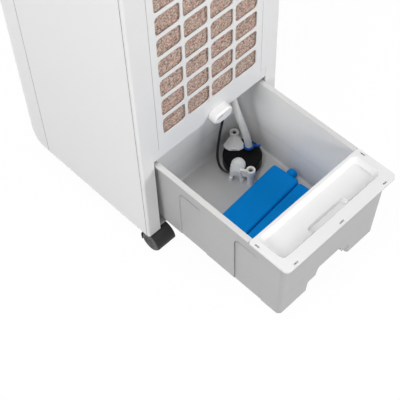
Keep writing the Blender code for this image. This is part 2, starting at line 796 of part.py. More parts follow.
def water_riser(root, white):
    """The pipe from the deck's nipple, round behind the pad and up to the trough."""
    turn_z = Z_DECK_TOP + RISER_TURN
    bend = RISER_TURN - RISER_RADIUS
    points = [(HOSE_TOP_X, HOSE_TOP_Y, Z_PANEL - NIPPLE_LENGTH)]
    for y, z in arc((HOSE_TOP_Y - bend, turn_z - bend), bend, 0, 90, ROUND_STEPS):
        points.append((HOSE_TOP_X, y, z))
    for y, z in arc((RISER_Y + bend, turn_z + bend), bend, 270, 180, ROUND_STEPS):
        points.append((HOSE_TOP_X, y, z))
    points.append((HOSE_TOP_X, RISER_Y, Z_TROUGH - FIT))
    tube("water_riser", points, RISER_RADIUS, white, root)


# Blower


def scroll_outline():
    """The scroll seen along Y, counterclockwise: its spiral, then the duct up to the outlet."""
    steps = FRONT_STEPS
    points = []
    for i in range(steps + 1):
        share = i / steps
        angle = math.radians(CUTOFF_ANGLE + (360 - CUTOFF_ANGLE) * share)
        radius = SCROLL_NEAR + (SCROLL_FAR - SCROLL_NEAR) * share
        points.append((radius * math.cos(angle), BLOWER_HEIGHT + radius * math.sin(angle)))
    shoulder = OUTLET_BOTTOM - 4 * FRAME_WALL
    half = SCROLL_DUCT_HALF
    points += [(half, shoulder), (half, SCROLL_TOP), (-half, SCROLL_TOP), (-half, shoulder)]
    return points


def blower_scroll(root, grey):
    outline = scroll_outline()
    scroll = piece("blower_scroll", prism("Y", outline, -SCROLL_FRONT, -SCROLL_REAR), grey, root)
    wall = SCROLL_WALL
    cut(scroll, prism("Y", offset(outline, wall), wall - SCROLL_FRONT, -SCROLL_REAR - wall))
    centre = (0, BLOWER_HEIGHT)
    cut(scroll, rod("Y", centre, INLET_RADIUS, -SCROLL_REAR - 2 * wall, wall - SCROLL_REAR, FRONT_STEPS))
    bore = rod("Y", centre, SHAFT_RADIUS + FIT, -SCROLL_FRONT - wall, 2 * wall - SCROLL_FRONT)
    half = OUTLET_WIDTH / 2
    low = (-half, -SCROLL_FRONT - wall, OUTLET_BOTTOM)
    mouth = block(low, (half, 2 * wall - SCROLL_FRONT, OUTLET_TOP))
    cut(scroll, together([bore, mouth]))


def blower_wheel(root, grey):
    centre = (0, BLOWER_HEIGHT)
    back = -(SCROLL_REAR + SCROLL_FRONT) / 2 - WHEEL_WIDTH / 2
    profile = [
        (WHEEL_RADIUS, back),
        (WHEEL_RADIUS, back + WHEEL_PLATE),
        (WHEEL_HUB, back + WHEEL_PLATE),
        (WHEEL_HUB, back + WHEEL_HUB_LENGTH),
    ]
    shape = turned("Y", centre, profile, FRONT_STEPS)
    wheel = piece("blower_wheel", shape, grey, root, (0, back, BLOWER_HEIGHT))
    front = back + WHEEL_WIDTH
    blades = []
    for i in range(WHEEL_BLADES):
        outline = blade_outline(2 * math.pi * i / WHEEL_BLADES)
        blades.append(prism("Y", outline, back + WHEEL_PLATE / 2, front))
    join(wheel, together(blades))
    ring = rod("Y", centre, WHEEL_RADIUS, front - WHEEL_PLATE, front + FIT, FRONT_STEPS)
    ring_object = join(wheel, ring)
    cut(ring_object, rod("Y", centre, WHEEL_INNER, front - 2 * WHEEL_PLATE, front + WHEEL_PLATE, FRONT_STEPS))
    length = 2 * WHEEL_HUB_LENGTH
    cut(wheel, rod("Y", centre, SHAFT_RADIUS + FIT, back - length, back + length, SMALL_CIRCLE))


def blade_outline(angle):
    """A forward-curved blade: three stations from the inner to the outer radius, turned ahead as it goes."""
    outer = WHEEL_RADIUS - BLADE_THICK
    inner = WHEEL_INNER + BLADE_THICK
    front, rear = [], []
    for share, ahead in ((0.0, 0.0), (0.5, 0.02), (1.0, 0.08)):
        radius = inner + (outer - inner) * share
        half = BLADE_THICK / 2 / radius
        for side, row in ((half, front), (-half, rear)):
            turned_to = angle + ahead + side
            row.append((radius * math.cos(turned_to), BLOWER_HEIGHT + radius * math.sin(turned_to)))
    return front + rear[::-1]


def blower_motor(root, dark):
    centre = (0, BLOWER_HEIGHT)
    face = -SCROLL_FRONT - FIT
    hub_end = -(SCROLL_REAR + SCROLL_FRONT) / 2 - WHEEL_WIDTH / 2 + WHEEL_HUB_LENGTH
    end = face - MOTOR_LENGTH
    profile = [
        (MOTOR_RADIUS - WALL, end),
        (MOTOR_RADIUS, end + WALL),
        (MOTOR_RADIUS, face),
        (SHAFT_RADIUS, face),
        (SHAFT_RADIUS, hub_end),
    ]
    piece("blower_motor", turned("Y", centre, profile), dark, root)


# Outlet


def outlet_frame(root, dark):
    frame = piece("outlet_frame", outlet_hole(0), dark, root)
    proud = -OUTLET_PROUD
    outline = plan(proud, proud, proud)
    change(frame, "INTERSECT", prism("Z", outline, Z_BASE, BODY_TOP))
    half = OUTLET_WIDTH / 2
    cut(frame, block((-half, -2 * BODY_DEPTH, OUTLET_BOTTOM), (half, 0, OUTLET_TOP)))
    radius = PIN_RADIUS + FIT
    reach = half + 2 * FRAME_WALL
    across = [rod("X", (LOUVRE_Y, z), radius, -reach, reach, SMALL_CIRCLE) for z in louvre_heights()]
    low, high = OUTLET_BOTTOM - 2 * FRAME_WALL, OUTLET_TOP + 2 * FRAME_WALL
    upright = [rod("Z", (x, VANE_Y), radius, low, high, SMALL_CIRCLE) for x in vane_places()]
    cut(frame, together(across + upright))


def louvre_heights():
    return [OUTLET_MIDDLE + (i - (LOUVRES - 1) / 2) * LOUVRE_PITCH for i in range(LOUVRES)]


def vane_places():
    return [(i - (VANES - 1) / 2) * VANE_PITCH for i in range(VANES)]


def bladed(axis, pivot, chord_way, chord, thick, span, crank_span):
    """A blade with a pin at each end and a narrow neck beside its crank.

    The outline's first coordinate runs across the blade's pivot axis. chord_way says which of the two
    coordinates the chord lies along.
    """

    def placed(outline):
        along = [(a, b) if chord_way == 0 else (b, a) for a, b in outline]
        return moved(along, *pivot)

    low, high = span
    pin = placed(circle(PIN_RADIUS, SMALL_CIRCLE))
    wide = placed(lens(chord, thick))
    neck = placed(lens(2 * PIN_RADIUS + thick, thick + PIN_RADIUS))
    stations = [
        (pin, low - PIN_LENGTH),
        (pin, low + FIT),
        (wide, low + 2 * FIT),
        (wide, crank_span[0] - 2 * FIT),
        (neck, crank_span[0] - FIT),
        (neck, high - 2 * FIT),
        (pin, high - FIT),
        (pin, high + PIN_LENGTH),
    ]
    return sections(axis, stations)


def crank_arm(axis, pivot, towards, stations):
    """An arm from a pivot to its crank pin, and the pin through the link's side. All of it is one body."""
    half = CRANK / 2 + PIN_RADIUS
    arm = stadium(half, PIN_RADIUS + FIT, 5)
    pin = circle(PIN_RADIUS, len(arm))
    if towards == 1:
        arm = [(b, a) for a, b in arm][::-1]
        pin = [(b, a) for a, b in pin][::-1]
        middle, end = (pivot[0], pivot[1] + CRANK / 2), (pivot[0], pivot[1] + CRANK)
    else:
        middle, end = (pivot[0] + CRANK / 2, pivot[1]), (pivot[0] + CRANK, pivot[1])
    start = math.pi / 2
    pin_turned = [
        (x * math.cos(start) + y * math.sin(start), y * math.cos(start) - x * math.sin(start)) for x, y in pin
    ]
    pin = pin_turned if towards == 0 else pin
    pin_low, arm_low, arm_high = stations
    return sections(
        axis,
        [
            (moved(pin, *end), pin_low),
            (moved(pin, *end), arm_low - FIT),
            (moved(arm, *middle), arm_low),
            (moved(arm, *middle), arm_high),
        ],
    )


def link_span():
    """Where the louvre link, the cranks and the narrow necks lie along the louvres, from the outer end."""
    high = OUTLET_WIDTH / 2 - 4 * FIT
    crank = (high - CRANK_THICK - 2 * FIT, high - 2 * FIT)
    link = (crank[0] - 2 * FIT - LINK_THICK, crank[0] - 2 * FIT)
    return link, crank


def louvres(root, white):
    link, crank = link_span()
    half = OUTLET_WIDTH / 2 - 2 * FIT
    for i, z in enumerate(louvre_heights()):
        pivot = (LOUVRE_Y, z)
        shape = bladed("X", pivot, 0, LOUVRE_CHORD, LOUVRE_THICK, (-half, half), (link[0] - 2 * FIT, half))
        blade = piece(f"louvre_{i + 1}", shape, white, root, (0, *pivot))
        join(blade, crank_arm("X", pivot, 0, (link[0] - FIT, crank[0], crank[1])))


def louvre_link(root, dark):
    link, _ = link_span()
    heights = louvre_heights()
    half = (heights[-1] - heights[0]) / 2 + LINK_WIDTH / 2
    outline = [(y, x) for x, y in stadium(half, LINK_WIDTH / 2)]
    outline = moved(outline, LOUVRE_Y + CRANK, OUTLET_MIDDLE)
    at = (link[0], LOUVRE_Y + CRANK, heights[0])
    bar = piece("louvre_link", prism("X", outline, *link), dark, root, at)
    radius = PIN_RADIUS + FIT
    holes = [
        rod("X", (LOUVRE_Y + CRANK, z), radius, link[0] - WALL, link[1] + WALL, SMALL_CIRCLE) for z in heights
    ]
    cut(bar, together(holes))


def vane_link_span():
    """Heights of the vane link and of the cranks over it, from the outlet's floor up."""
    link = (OUTLET_BOTTOM + 3 * FIT, OUTLET_BOTTOM + 3 * FIT + LINK_THICK)
    crank = (link[1] + 2 * FIT, link[1] + 2 * FIT + CRANK_THICK)
    return link, crank


def vanes(root, white):
    link, crank = vane_link_span()
    low, high = OUTLET_BOTTOM + 2 * FIT, OUTLET_TOP - 2 * FIT
    for i, x in enumerate(vane_places()):
        pivot = (x, VANE_Y)
        shape = vane_shape(pivot, low, high, crank[1] + 2 * FIT)
        vane = piece(f"vane_{i + 1}", shape, white, root, (x, VANE_Y, OUTLET_BOTTOM))
        join(vane, crank_arm("Z", pivot, 1, (link[0] - FIT, crank[0], crank[1])))


def vane_shape(pivot, low, high, neck_top):
    """An upright blade; its neck and the lower pin are below."""

    def placed(outline):
        return moved([(b, a) for a, b in outline], *pivot)

    pin = placed(circle(PIN_RADIUS, SMALL_CIRCLE))
    wide = placed(lens(VANE_CHORD, VANE_THICK))
    neck = placed(lens(2 * PIN_RADIUS + VANE_THICK, VANE_THICK + PIN_RADIUS))
    return sections(
        "Z",
        [
            (pin, low - PIN_LENGTH),
            (pin, low + FIT),
            (neck, low + 2 * FIT),
            (neck, neck_top),
            (wide, neck_top + FIT),
            (wide, high - 2 * FIT),
            (pin, high - FIT),
            (pin, high + PIN_LENGTH),
        ],
    )


def vane_link(root, dark):
    link, _ = vane_link_span()
    places = vane_places()
    half = (places[-1] - places[0]) / 2 + LINK_WIDTH / 2
    outline = moved(stadium(half, LINK_WIDTH / 2), 0, VANE_Y + CRANK)
    at = (places[0], VANE_Y + CRANK, link[0])
    bar = piece("vane_link", prism("Z", outline, *link), dark, root, at)
    radius = PIN_RADIUS + FIT
    holes = [
        rod("Z", (x, VANE_Y + CRANK), radius, link[0] - WALL, link[1] + WALL, SMALL_CIRCLE) for x in places
    ]
    cut(bar, together(holes))


def swing_motor(root, dark):
    """The small motor under the outlet's floor, with its shaft on the first vane's lower pin."""
    top = OUTLET_BOTTOM - FRAME_WALL - FIT
    pin_end = OUTLET_BOTTOM + 2 * FIT - PIN_LENGTH
    profile = [
        (SWING_MOTOR_RADIUS, top - SWING_MOTOR_HEIGHT),
        (SWING_MOTOR_RADIUS, top),
        (PIN_RADIUS, top + FIT / 2),
        (PIN_RADIUS, pin_end - FIT),
    ]
    piece("swing_motor", turned("Z", (vane_places()[0], VANE_Y), profile), dark, root)


# Controls


def panel_box():
    front = PANEL_SETBACK - BODY_DEPTH
    return (-PANEL_WIDTH / 2, front), (PANEL_WIDTH / 2, front + PANEL_LENGTH)


def panel_middle():
    return PANEL_SETBACK - BODY_DEPTH + PANEL_LENGTH / 2


def button_places():
    return [(BUTTON_FIRST + i * BUTTON_PITCH, panel_middle()) for i in range(BUTTONS)]


def lens_box(grow=0.0):
    x, y = LENS_WIDTH / 2 + grow, LENS_LENGTH / 2 + grow
    return (LENS_X - x, panel_middle() - y), (LENS_X + x, panel_middle() + y)


def control_panel(root, dark):
    low, high = panel_box()
    low, high = (low[0] + FIT, low[1] + FIT), (high[0] - FIT, high[1] - FIT)
    z = BODY_TOP - PANEL_THICK
    panel = piece("control_panel", block((*low, z), (*high, BODY_TOP)), dark, root)
    inset = PANEL_RIM + 2 * POST_RADIUS
    posts = []
    for x in (low[0] + inset, high[0] - inset):
        for y in (low[1] + inset, high[1] - inset):
            posts.append(rod("Z", (x, y), POST_RADIUS, BODY_TOP - BOARD_DROP + FIT, z + FIT, SMALL_CIRCLE))
    join(panel, together(posts))
    span = (z - WALL, BODY_TOP + WALL)
    holes = [rod("Z", at, BUTTON_RADIUS + FIT, *span) for at in button_places()]
    low, high = lens_box(FIT)
    holes.append(block((*low, span[0]), (*high, span[1])))
    cut(panel, together(holes))


def buttons(root, white):
    for i, at in enumerate(button_places()):
        stem = BODY_TOP - PANEL_THICK - BUTTON_STEM
        profile = [
            (BUTTON_RADIUS + 2 * FIT, stem),
            (BUTTON_RADIUS + 2 * FIT, BODY_TOP - PANEL_THICK - BUTTON_STEM / 2),
            (BUTTON_RADIUS, BODY_TOP - PANEL_THICK - BUTTON_STEM / 2 + FIT),
            (BUTTON_RADIUS, BODY_TOP + BUTTON_PROUD / 2),
            (BUTTON_RADIUS - BUTTON_PROUD / 2, BODY_TOP + BUTTON_PROUD),
        ]
        piece(f"button_{i + 1}", turned("Z", at, profile), white, root, (*at, BODY_TOP))


def display_lens(root, glass):
    low, high = lens_box()
    shape = block((*low, BODY_TOP - PANEL_THICK), (*high, BODY_TOP + FIT))
    piece("display_lens", shape, glass, root)


def control_board(root, green):
    low, high = panel_box()
    rim = PANEL_RIM + POST_RADIUS
    low, high = (low[0] + rim, low[1] + rim), (high[0] - rim, high[1] - rim)
    top = BODY_TOP - BOARD_DROP
    piece("control_board", block((*low, top - BOARD_THICK), (*high, top)), green, root)


# Tank and lid


def tank_ring(z, inset, lip=0.0):
    """The tank's outline at a height, drawn in by an inset; lip is the share of the rim's overhang."""
    share = (Z_RIM - z) / TANK_HEIGHT
    bare = 1.0 - lip
    half = TANK_WIDTH / 2 - TANK_LIP * bare - TANK_SIDE_DRAFT * share - inset
    inner = TANK_INNER + TANK_INNER_LIP * bare + TANK_INNER_DRAFT * share + inset
    outer = TANK_REACH - TANK_FRONT_LIP * bare - TANK_FRONT_DRAFT * share - inset
    near = max(TANK_CORNER - inset / 2, TANK_WALL)
    far = TANK_INNER_CORNER - inset / 2
    return rounded((-half, inner), (half, outer), [far, far, near, near])


def fillet_levels(bottom, radius):
    """Heights and insets of a rounded bottom edge, from the flat up."""
    for i in range(ROUND_STEPS):
        angle = math.radians(90 * i / ROUND_STEPS)
        yield bottom + radius * (1 - math.cos(angle)), radius * (1 - math.sin(angle))


def taper(side, drop):
    """How far a pocket's edge lies outwards, this much under the pocket's top."""
    return math.copysign(POCKET_TAPER * drop / (TANK_HEIGHT - POCKET_TOP), side)


def pocket_shapes():
    """The arched recesses in both sides, shallower than the wall and open at the bottom."""
    slope = TANK_SIDE_DRAFT / TANK_HEIGHT
    wall = TANK_WIDTH / 2 - TANK_LIP - TANK_SIDE_DRAFT
    shapes = []
    for side in (-1, 1):
        for i in range(POCKETS):
            high = TANK_REACH - POCKET_FIRST - i * POCKET_PITCH
            low = high - POCKET_WIDTH
            bottom, top = Z_TANK - TANK_FILLET, Z_RIM - POCKET_TOP
            square = TANK_WALL
            outline = rounded((low, bottom), (high, top), (square, square, POCKET_RADIUS, POCKET_RADIUS))
            outline = [(y + taper(y - (low + high) / 2, top - z), z) for y, z in outline]
            x = sorted((side * (wall - POCKET_DEPTH), side * (wall + 2 * TANK_FILLET)))
            shapes.append(lean(prism("X", outline, *x), side * slope, Z_TANK))
    return shapes


def notch_shape(grow):
    """The stepped hand notch under the tank's outer end."""
    bottom = Z_TANK - TANK_FILLET
    step, top = Z_TANK + NOTCH_HEIGHT + grow, Z_TANK + GRIP_HEIGHT + grow
    wide, grip = NOTCH_HALF + grow, GRIP_HALF + grow
    taper = NOTCH_TAPER
    right = [(wide + taper, bottom), (wide, step - taper), (wide - taper, step)]
    right += [(grip + taper, step), (grip, top - taper), (grip - taper, top)]
    outline = right + [(-x, z) for x, z in reversed(right)]
    back = TANK_REACH - TANK_FRONT_LIP - TANK_FRONT_DRAFT - NOTCH_DEPTH - grow
    return prism("Y", outline, back, TANK_REACH + TANK_FILLET)


def tank(slide, plastic):
    lip_z = Z_RIM - TANK_LIP_HEIGHT
    rings = [(tank_ring(z, inset), z) for z, inset in fillet_levels(Z_TANK, TANK_FILLET)]
    edge = TANK_RIM_EDGE
    rings += [(tank_ring(lip_z, 0), lip_z), (tank_ring(lip_z, 0, 1.0), lip_z + edge)]
    rings += [(tank_ring(Z_RIM, 0, 1.0), Z_RIM - edge), (tank_ring(Z_RIM, edge, 1.0), Z_RIM)]
    body = piece("tank", sections("Z", rings), plastic, slide, place_of(slide))
    cut(body, together([*pocket_shapes(), notch_shape(0)]))
    inside = TANK_FILLET - TANK_WALL
    levels = [(z, inset + TANK_WALL) for z, inset in fillet_levels(Z_WELL, inside)]
    levels.append((Z_RIM + TANK_FILLET, TANK_WALL))
    cavity = cut(body, sections("Z", [(tank_ring(z, inset), z) for z, inset in levels]))
    cut(cavity, notch_shape(TANK_WALL))
    rebate = Z_RIM - LID_THICK - FIT
    reach = BODY_WIDTH
    cut(body, block((-reach, LID_INNER - FIT, rebate), (reach, TANK_REACH + reach, Z_RIM + TANK_FILLET)))


def tank_lid(slide, white):
    half = TANK_WIDTH / 2
    square = TANK_WALL
    plate = rounded((-half, LID_INNER), (half, TANK_REACH), (square, square, TANK_CORNER, TANK_CORNER))
    shape = prism("Z", plate, Z_RIM - LID_THICK, Z_RIM)
    lid = piece("tank_lid", shape, white, slide)
    low = (TRAY_SIDE - half, LID_INNER + TRAY_REAR)
    high = (half - TRAY_SIDE, TANK_REACH - TRAY_FRONT)
    fingers = (-FINGER_HALF, high[1] - FINGER_LENGTH), (FINGER_HALF, high[1] - FIT)
    tray = (low, high, TRAY_DEPTH)
    scoop = (*fingers, TRAY_DEPTH + FINGER_DEPTH)
    for box in (tray, scoop):
        join(lid, basin(*box, TRAY_WALL, Z_RIM - LID_THICK / 2))
    for box in (tray, scoop):
        cut(lid, basin(*box, 0.0, Z_RIM + FIT))
    cut(lid, together(lid_slots()))


def basin(low, high, depth, grow, top):
    """A recess in the lid with sloping walls, grown by a wall for its outside."""
    floor = Z_RIM - depth - grow
    rings = []
    for z in (floor, top):
        drawn = TRAY_SLOPE * (Z_RIM - z) / depth - grow
        inner = (low[0] + drawn, low[1] + drawn), (high[0] - drawn, high[1] - drawn)
        corner = min(TRAY_CORNER - drawn / 2, (inner[1][1] - inner[0][1]) * 0.4)
        rings.append((rounded(*inner, [corner] * 4), z))
    return sections("Z", rings)


def lid_slots():
    """Clip windows near the lid's edges: three along the front and one on each side."""
    along, across = SLOT_LENGTH / 2, SLOT_WIDTH / 2
    front = TANK_REACH - SLOT_EDGE
    places = [(x, front, along, across) for x in (-SLOT_SIDE_X, 0, SLOT_SIDE_X)]
    side = TANK_WIDTH / 2 - SLOT_EDGE
    places += [(x, LID_INNER + SLOT_SIDE_Y, across, along) for x in (-side, side)]
    low, high = Z_RIM - 2 * LID_THICK, Z_RIM + LID_THICK
    return [block((x - dx, y - dy, low), (x + dx, y + dy, high)) for x, y, dx, dy in places]


def ice_packs(slide, blue):
    for name, x, y in (("ice_pack_rear", PACK_X[0], PACK_Y[0]), ("ice_pack_front", PACK_X[1], PACK_Y[1])):
        half_x, half_y = PACK_LENGTH / 2, PACK_WIDTH / 2
        rings = []
        base = Z_WELL + FIT
        edge = [(PACK_EDGE * rise, PACK_EDGE * inset) for rise, inset in ((0, 1), (0.3, 0.3), (1, 0))]
        steps = [(base + rise, inset) for rise, inset in edge]
        steps += [(base + PACK_THICK - rise, inset) for rise, inset in reversed(edge)]
        for z, inset in steps:
            low, high = (x - half_x + inset, y - half_y + inset), (x + half_x - inset, y + half_y - inset)
            rings.append((rounded(low, high, [PACK_CORNER] * 4), z))
        shape = turn(sections("Z", rings), PACK_TURN, (x, y))
        pack = piece(name, shape, blue, slide)
        middle = base + PACK_THICK / 2
        end = x - half_x
        profile = [(CAP_RADIUS * 0.8, end + CAP_LENGTH), (CAP_RADIUS, end), (CAP_RADIUS, end - CAP_LENGTH)]
        cap = turned("X", (y + CAP_OFFSET, middle), profile)
        join(pack, turn(cap, PACK_TURN, (x, y)))


# Pump, hose and cable


def ear_place(side):
    angle = math.radians(EAR_ANGLE)
    return PUMP_X + side * EAR_REACH * math.cos(angle), PUMP_Y + side * EAR_REACH * math.sin(angle)


def radial(shape, degrees):
    """Moves a shape drawn about the pump's axis, along +X, to its angle on the pump."""
    bmesh.ops.translate(shape, verts=shape.verts, vec=(PUMP_X, PUMP_Y, 0))
    return turn(shape, degrees, (PUMP_X, PUMP_Y))


def pump_motor(slide, black):
    centre = (PUMP_X, PUMP_Y)
    profile = [
        (PUMP_RADIUS, Z_PUMP),
        (PUMP_RADIUS, Z_PUMP_TOP - WALL),
        (PUMP_RADIUS - WALL, Z_PUMP_TOP),
    ]
    motor = piece("pump_motor", turned("Z", centre, profile, FRONT_STEPS), black, slide)
    join(motor, rod("Z", SPIGOT.xy, SPIGOT_RADIUS, Z_PUMP_TOP - WALL, SPIGOT.z, SMALL_CIRCLE))
    chamber = [
        (IMPELLER_RADIUS + 2 * FIT, Z_PUMP - WALL),
        (IMPELLER_RADIUS + 2 * FIT, Z_PUMP + CHAMBER_HEIGHT),
        (SCREW_SHANK + FIT, Z_PUMP + CHAMBER_HEIGHT + FIT),
        (SCREW_SHANK + FIT, Z_PUMP_TOP - 2 * WALL),
    ]
    cut(motor, turned("Z", centre, chamber))


def pump_impeller(slide, white):
    centre = (PUMP_X, PUMP_Y)
    low, top = Z_PUMP + FIT, Z_PUMP + FIT + IMPELLER_HEIGHT
    plate = top - IMPELLER_HEIGHT / 3
    profile = [
        (SCREW_HEAD, low),
        (SCREW_HEAD, plate - FIT),
        (IMPELLER_RADIUS, plate),
        (IMPELLER_RADIUS, top),
        (SCREW_SHANK, top + FIT),
        (SCREW_SHANK, Z_PUMP_TOP - 2 * WALL - FIT),
    ]
    wheel = piece("pump_impeller", turned("Z", centre, profile), white, slide, (*centre, low))
    half = SCREW_SHANK / 2
    reach = IMPELLER_RADIUS - FIT
    span = (low, plate + FIT)
    arms = prism("Z", [(-reach, -half), (reach, -half), (reach, half), (-reach, half)], *span)
    join(wheel, radial(arms, 0))
    arms = prism("Z", [(-reach, -half), (reach, -half), (reach, half), (-reach, half)], *span)
    join(wheel, radial(arms, 90))


def pump_clearance():
    """The pump's outside, grown, to cut from what lies against it."""
    low, high = Z_PUMP - FIT, Z_PUMP_TOP + FIT
    return rod("Z", (PUMP_X, PUMP_Y), PUMP_RADIUS + FIT, low, high, FRONT_STEPS)


def ear(side):
    """A screw column from the tank's floor up to its wider ear."""
    neck = Z_EAR - EAR_DEPTH
    profile = [(EAR_COLUMN, Z_WELL + FIT), (EAR_COLUMN, neck - WALL), (EAR_RADIUS, neck), (EAR_RADIUS, Z_EAR)]
    return turned("Z", ear_place(side), profile)


def ear_bore(side):
    return rod("Z", ear_place(side), EAR_HOLE, Z_EAR - EAR_HEIGHT / 2, Z_EAR + WALL, SMALL_CIRCLE)


def pump_lug(slide, grey):
    """The rear ear: a column, and a fan-shaped tent over the pump's edge that runs up to it."""
    low = Z_PUMP_TOP + FIT
    head = Z_EAR - low - LUG_EDGE
    stations = [
        (0.0, 0.30, head),
        (0.35, 0.68, head),
        (0.68, 1.0, LUG_RIDGE),
        (0.88, 0.84, LUG_RIDGE * 0.9),
        (1.0, 0.45, LUG_RIDGE * 0.6),
    ]
    rings = []
    for along, share, ridge in stations:
        half, x = LUG_HALF * share, LUG_LENGTH * along
        edge = LUG_EDGE * share
        side = [(-half, low), (-half, low + edge), (-half * 0.5, low + (edge + ridge) * 0.6)]
        outline = [*side, (0, low + ridge), *[(-y, z) for y, z in reversed(side)]]
        rings.append((outline, x))
    at = ear_place(-1)
    tent = sections("X", rings)
    bmesh.ops.translate(tent, verts=tent.verts, vec=(*at, 0))
    lug = piece("pump_lug", turn(tent, LUG_ANGLE, at), grey, slide)
    rings = []
    for along, _, ridge in stations[:-1]:
        top = min(low + ridge + LUG_RIB, Z_EAR - FIT)
        outline = [(-LUG_RIB, low + FIT), (-LUG_RIB, top), (LUG_RIB, top), (LUG_RIB, low + FIT)]
        rings.append((outline, LUG_LENGTH * along))
    rib = sections("X", rings)
    bmesh.ops.translate(rib, verts=rib.verts, vec=(*at, 0))
    join(lug, turn(rib, LUG_ANGLE, at))
    join(lug, ear(-1))
    cut(lug, ear_bore(-1))


def arch(half, top, bottom, steps=ROUND_STEPS):
    """An upright arch outline, across and up, with a round head."""
    return [(half, bottom), *arc((0, top - half), half, 0, 180, 2 * steps), (-half, bottom)]


def pump_cover(slide, grey):
    """The inlet hood: a vault from over the pump down to the tank's floor, with its screw ear."""
    floor = Z_WELL + FIT
    crown = Z_PUMP_TOP + COVER_RISE
    length = COVER_REACH - COVER_START
    stations = [
        (0.0, 0.30, crown - COVER_RISE * 0.55),
        (0.07, 0.62, crown - COVER_RISE * 0.26),
        (0.20, 0.88, crown - COVER_RISE * 0.08),
        (0.40, 1.0, crown),
        (0.66, 1.0, crown - COVER_RISE * 0.12),
        (1.0, 0.84, crown - COVER_RISE * 1.15),
    ]
    rings = [(arch(COVER_HALF * half, top, floor), COVER_START + length * at) for at, half, top in stations]
    cover = piece("pump_cover", radial(sections("X", rings), COVER_ANGLE), grey, slide)
    join(cover, ear(1))
    turn_to_ear = math.radians(EAR_ANGLE - COVER_ANGLE)
    along, across = EAR_REACH * math.cos(turn_to_ear), EAR_REACH * math.sin(turn_to_ear)
    web_top = Z_EAR - EAR_DEPTH / 2
    web = block((along - WALL, COVER_HALF / 2, Z_EAR - 2 * EAR_DEPTH), (along + WALL, across, web_top))
    join(cover, radial(web, COVER_ANGLE))
    foot_x, foot_y = COVER_REACH - FOOT_RADIUS / 2, COVER_HALF * 0.84 - FOOT_RADIUS / 2
    for side in (-1, 1):
        foot = rod("Z", (foot_x, side * foot_y), FOOT_RADIUS, floor, floor + FOOT_HEIGHT)
        join(cover, radial(foot, COVER_ANGLE))
    cut(cover, pump_clearance())
    low = PUMP_RADIUS * 0.9
    inlet = prism("X", arch(INLET_HALF, Z_WELL + INLET_TOP, Z_WELL - WALL), low, 2 * COVER_REACH)
    cut(cover, radial(inlet, COVER_ANGLE))
    cut(cover, ear_bore(1))


def pump_screws(slide, steel):
    for name, side in (("pump_screw_rear", -1), ("pump_screw_front", 1)):
        floor = Z_EAR - EAR_HEIGHT / 2
        seat = floor + 2 * SCREW_HEAD
        profile = [(SCREW_SHANK, floor + FIT), (SCREW_HEAD, seat), (SCREW_HEAD, Z_EAR - WALL)]
        piece(name, turned("Z", ear_place(side), profile, SMALL_CIRCLE), steel, slide)


def hose_route():
    """Straight off the pump's spigot and onto the deck's nipple, and a slow bend between."""
    top = Vector((HOSE_TOP_X, HOSE_TOP_Y, Z_PANEL - NIPPLE_LENGTH - FIT))
    bottom = SPIGOT + Vector((0, 0, FIT))
    rise = Vector((0, 0, HOSE_RADIUS / 2))
    points = [bottom]
    for i in range(HOSE_STEPS + 1):
        share = i / HOSE_STEPS
        across = (share + share * share * (3 - 2 * share)) / 2
        low, high = bottom + rise, top - rise
        point = low.lerp(high, across)
        point.z = low.z + (high.z - low.z) * share
        points.append(point)
    return [*points, top]


def hose(slide, clear):
    tube("hose", hose_route(), HOSE_RADIUS, clear, slide)


def hose_clip(slide, blue):
    low = SPIGOT.z + 2 * FIT
    top = low + CLIP_HEIGHT
    centre = SPIGOT.xy
    bore = HOSE_RADIUS + 3 * FIT
    outer = bore + CLIP_BAND
    clip = piece("hose_clip", rod("Z", centre, outer, low, top), blue, slide)
    half = CLIP_BAND / 2
    tail = block((bore, -half, low), (outer + CLIP_TAIL, half, top))
    bmesh.ops.translate(tail, verts=tail.verts, vec=(*centre, 0))
    join(clip, turn(tail, CLIP_TURN, centre))
    cut(clip, rod("Z", centre, bore, low - WALL, top + WALL))


def pump_cable(slide, black):
    """From the deck down beside the pump and into the side of its inlet cover."""
    angle = math.radians(COVER_ANGLE)
    out = Vector((math.sin(angle), -math.cos(angle), 0))
    along = Vector((math.cos(angle), math.sin(angle), 0))
    end = Vector((PUMP_X, PUMP_Y, 0)) + along * PUMP_RADIUS * 1.05 + out * (COVER_HALF + FIT)
    end.z = Z_PANEL + CABLE_END_HEIGHT
    top, below = Z_DECK_TOP + 2 * CABLE_RADIUS, Z_PANEL - 2 * CABLE_RADIUS
    route = [(*CABLE_TOP, below), *((x, y, Z_PANEL + z) for x, y, z in CABLE_ROUTE), end]
    points = [(*CABLE_TOP, top), *smooth_route(route, 4)]
    tube("pump_cable", points, CABLE_RADIUS, black, slide)


# Casters and gland


def caster_places():
    """Swivel axis and boss height of each caster; the front ones stand under the pushed-in tank."""
    rear, front = HALF - CASTER_INSET, HALF - CASTER_FRONT_INSET
    low_boss = Z_TANK - 3 * FIT - Z_BASE
    places = [(x, -CASTER_REAR, BOSS_HEIGHT) for x in (rear, -rear)]
    return places + [(x, CASTER_FRONT - SEAM_DEPTH, low_boss) for x in (front, -front)]


def casters(root, black, dark):
    names = ("rear_left", "rear_right", "front_left", "front_right")
    for name, (x, y, boss) in zip(names, caster_places()):
        swivel = carrier(f"caster_{name}", (x, y, Z_BASE), root)
        caster_hood(name, (x, y), boss, swivel, black)
        caster_wheels(name, x, y + CASTER_TRAIL, swivel, dark)


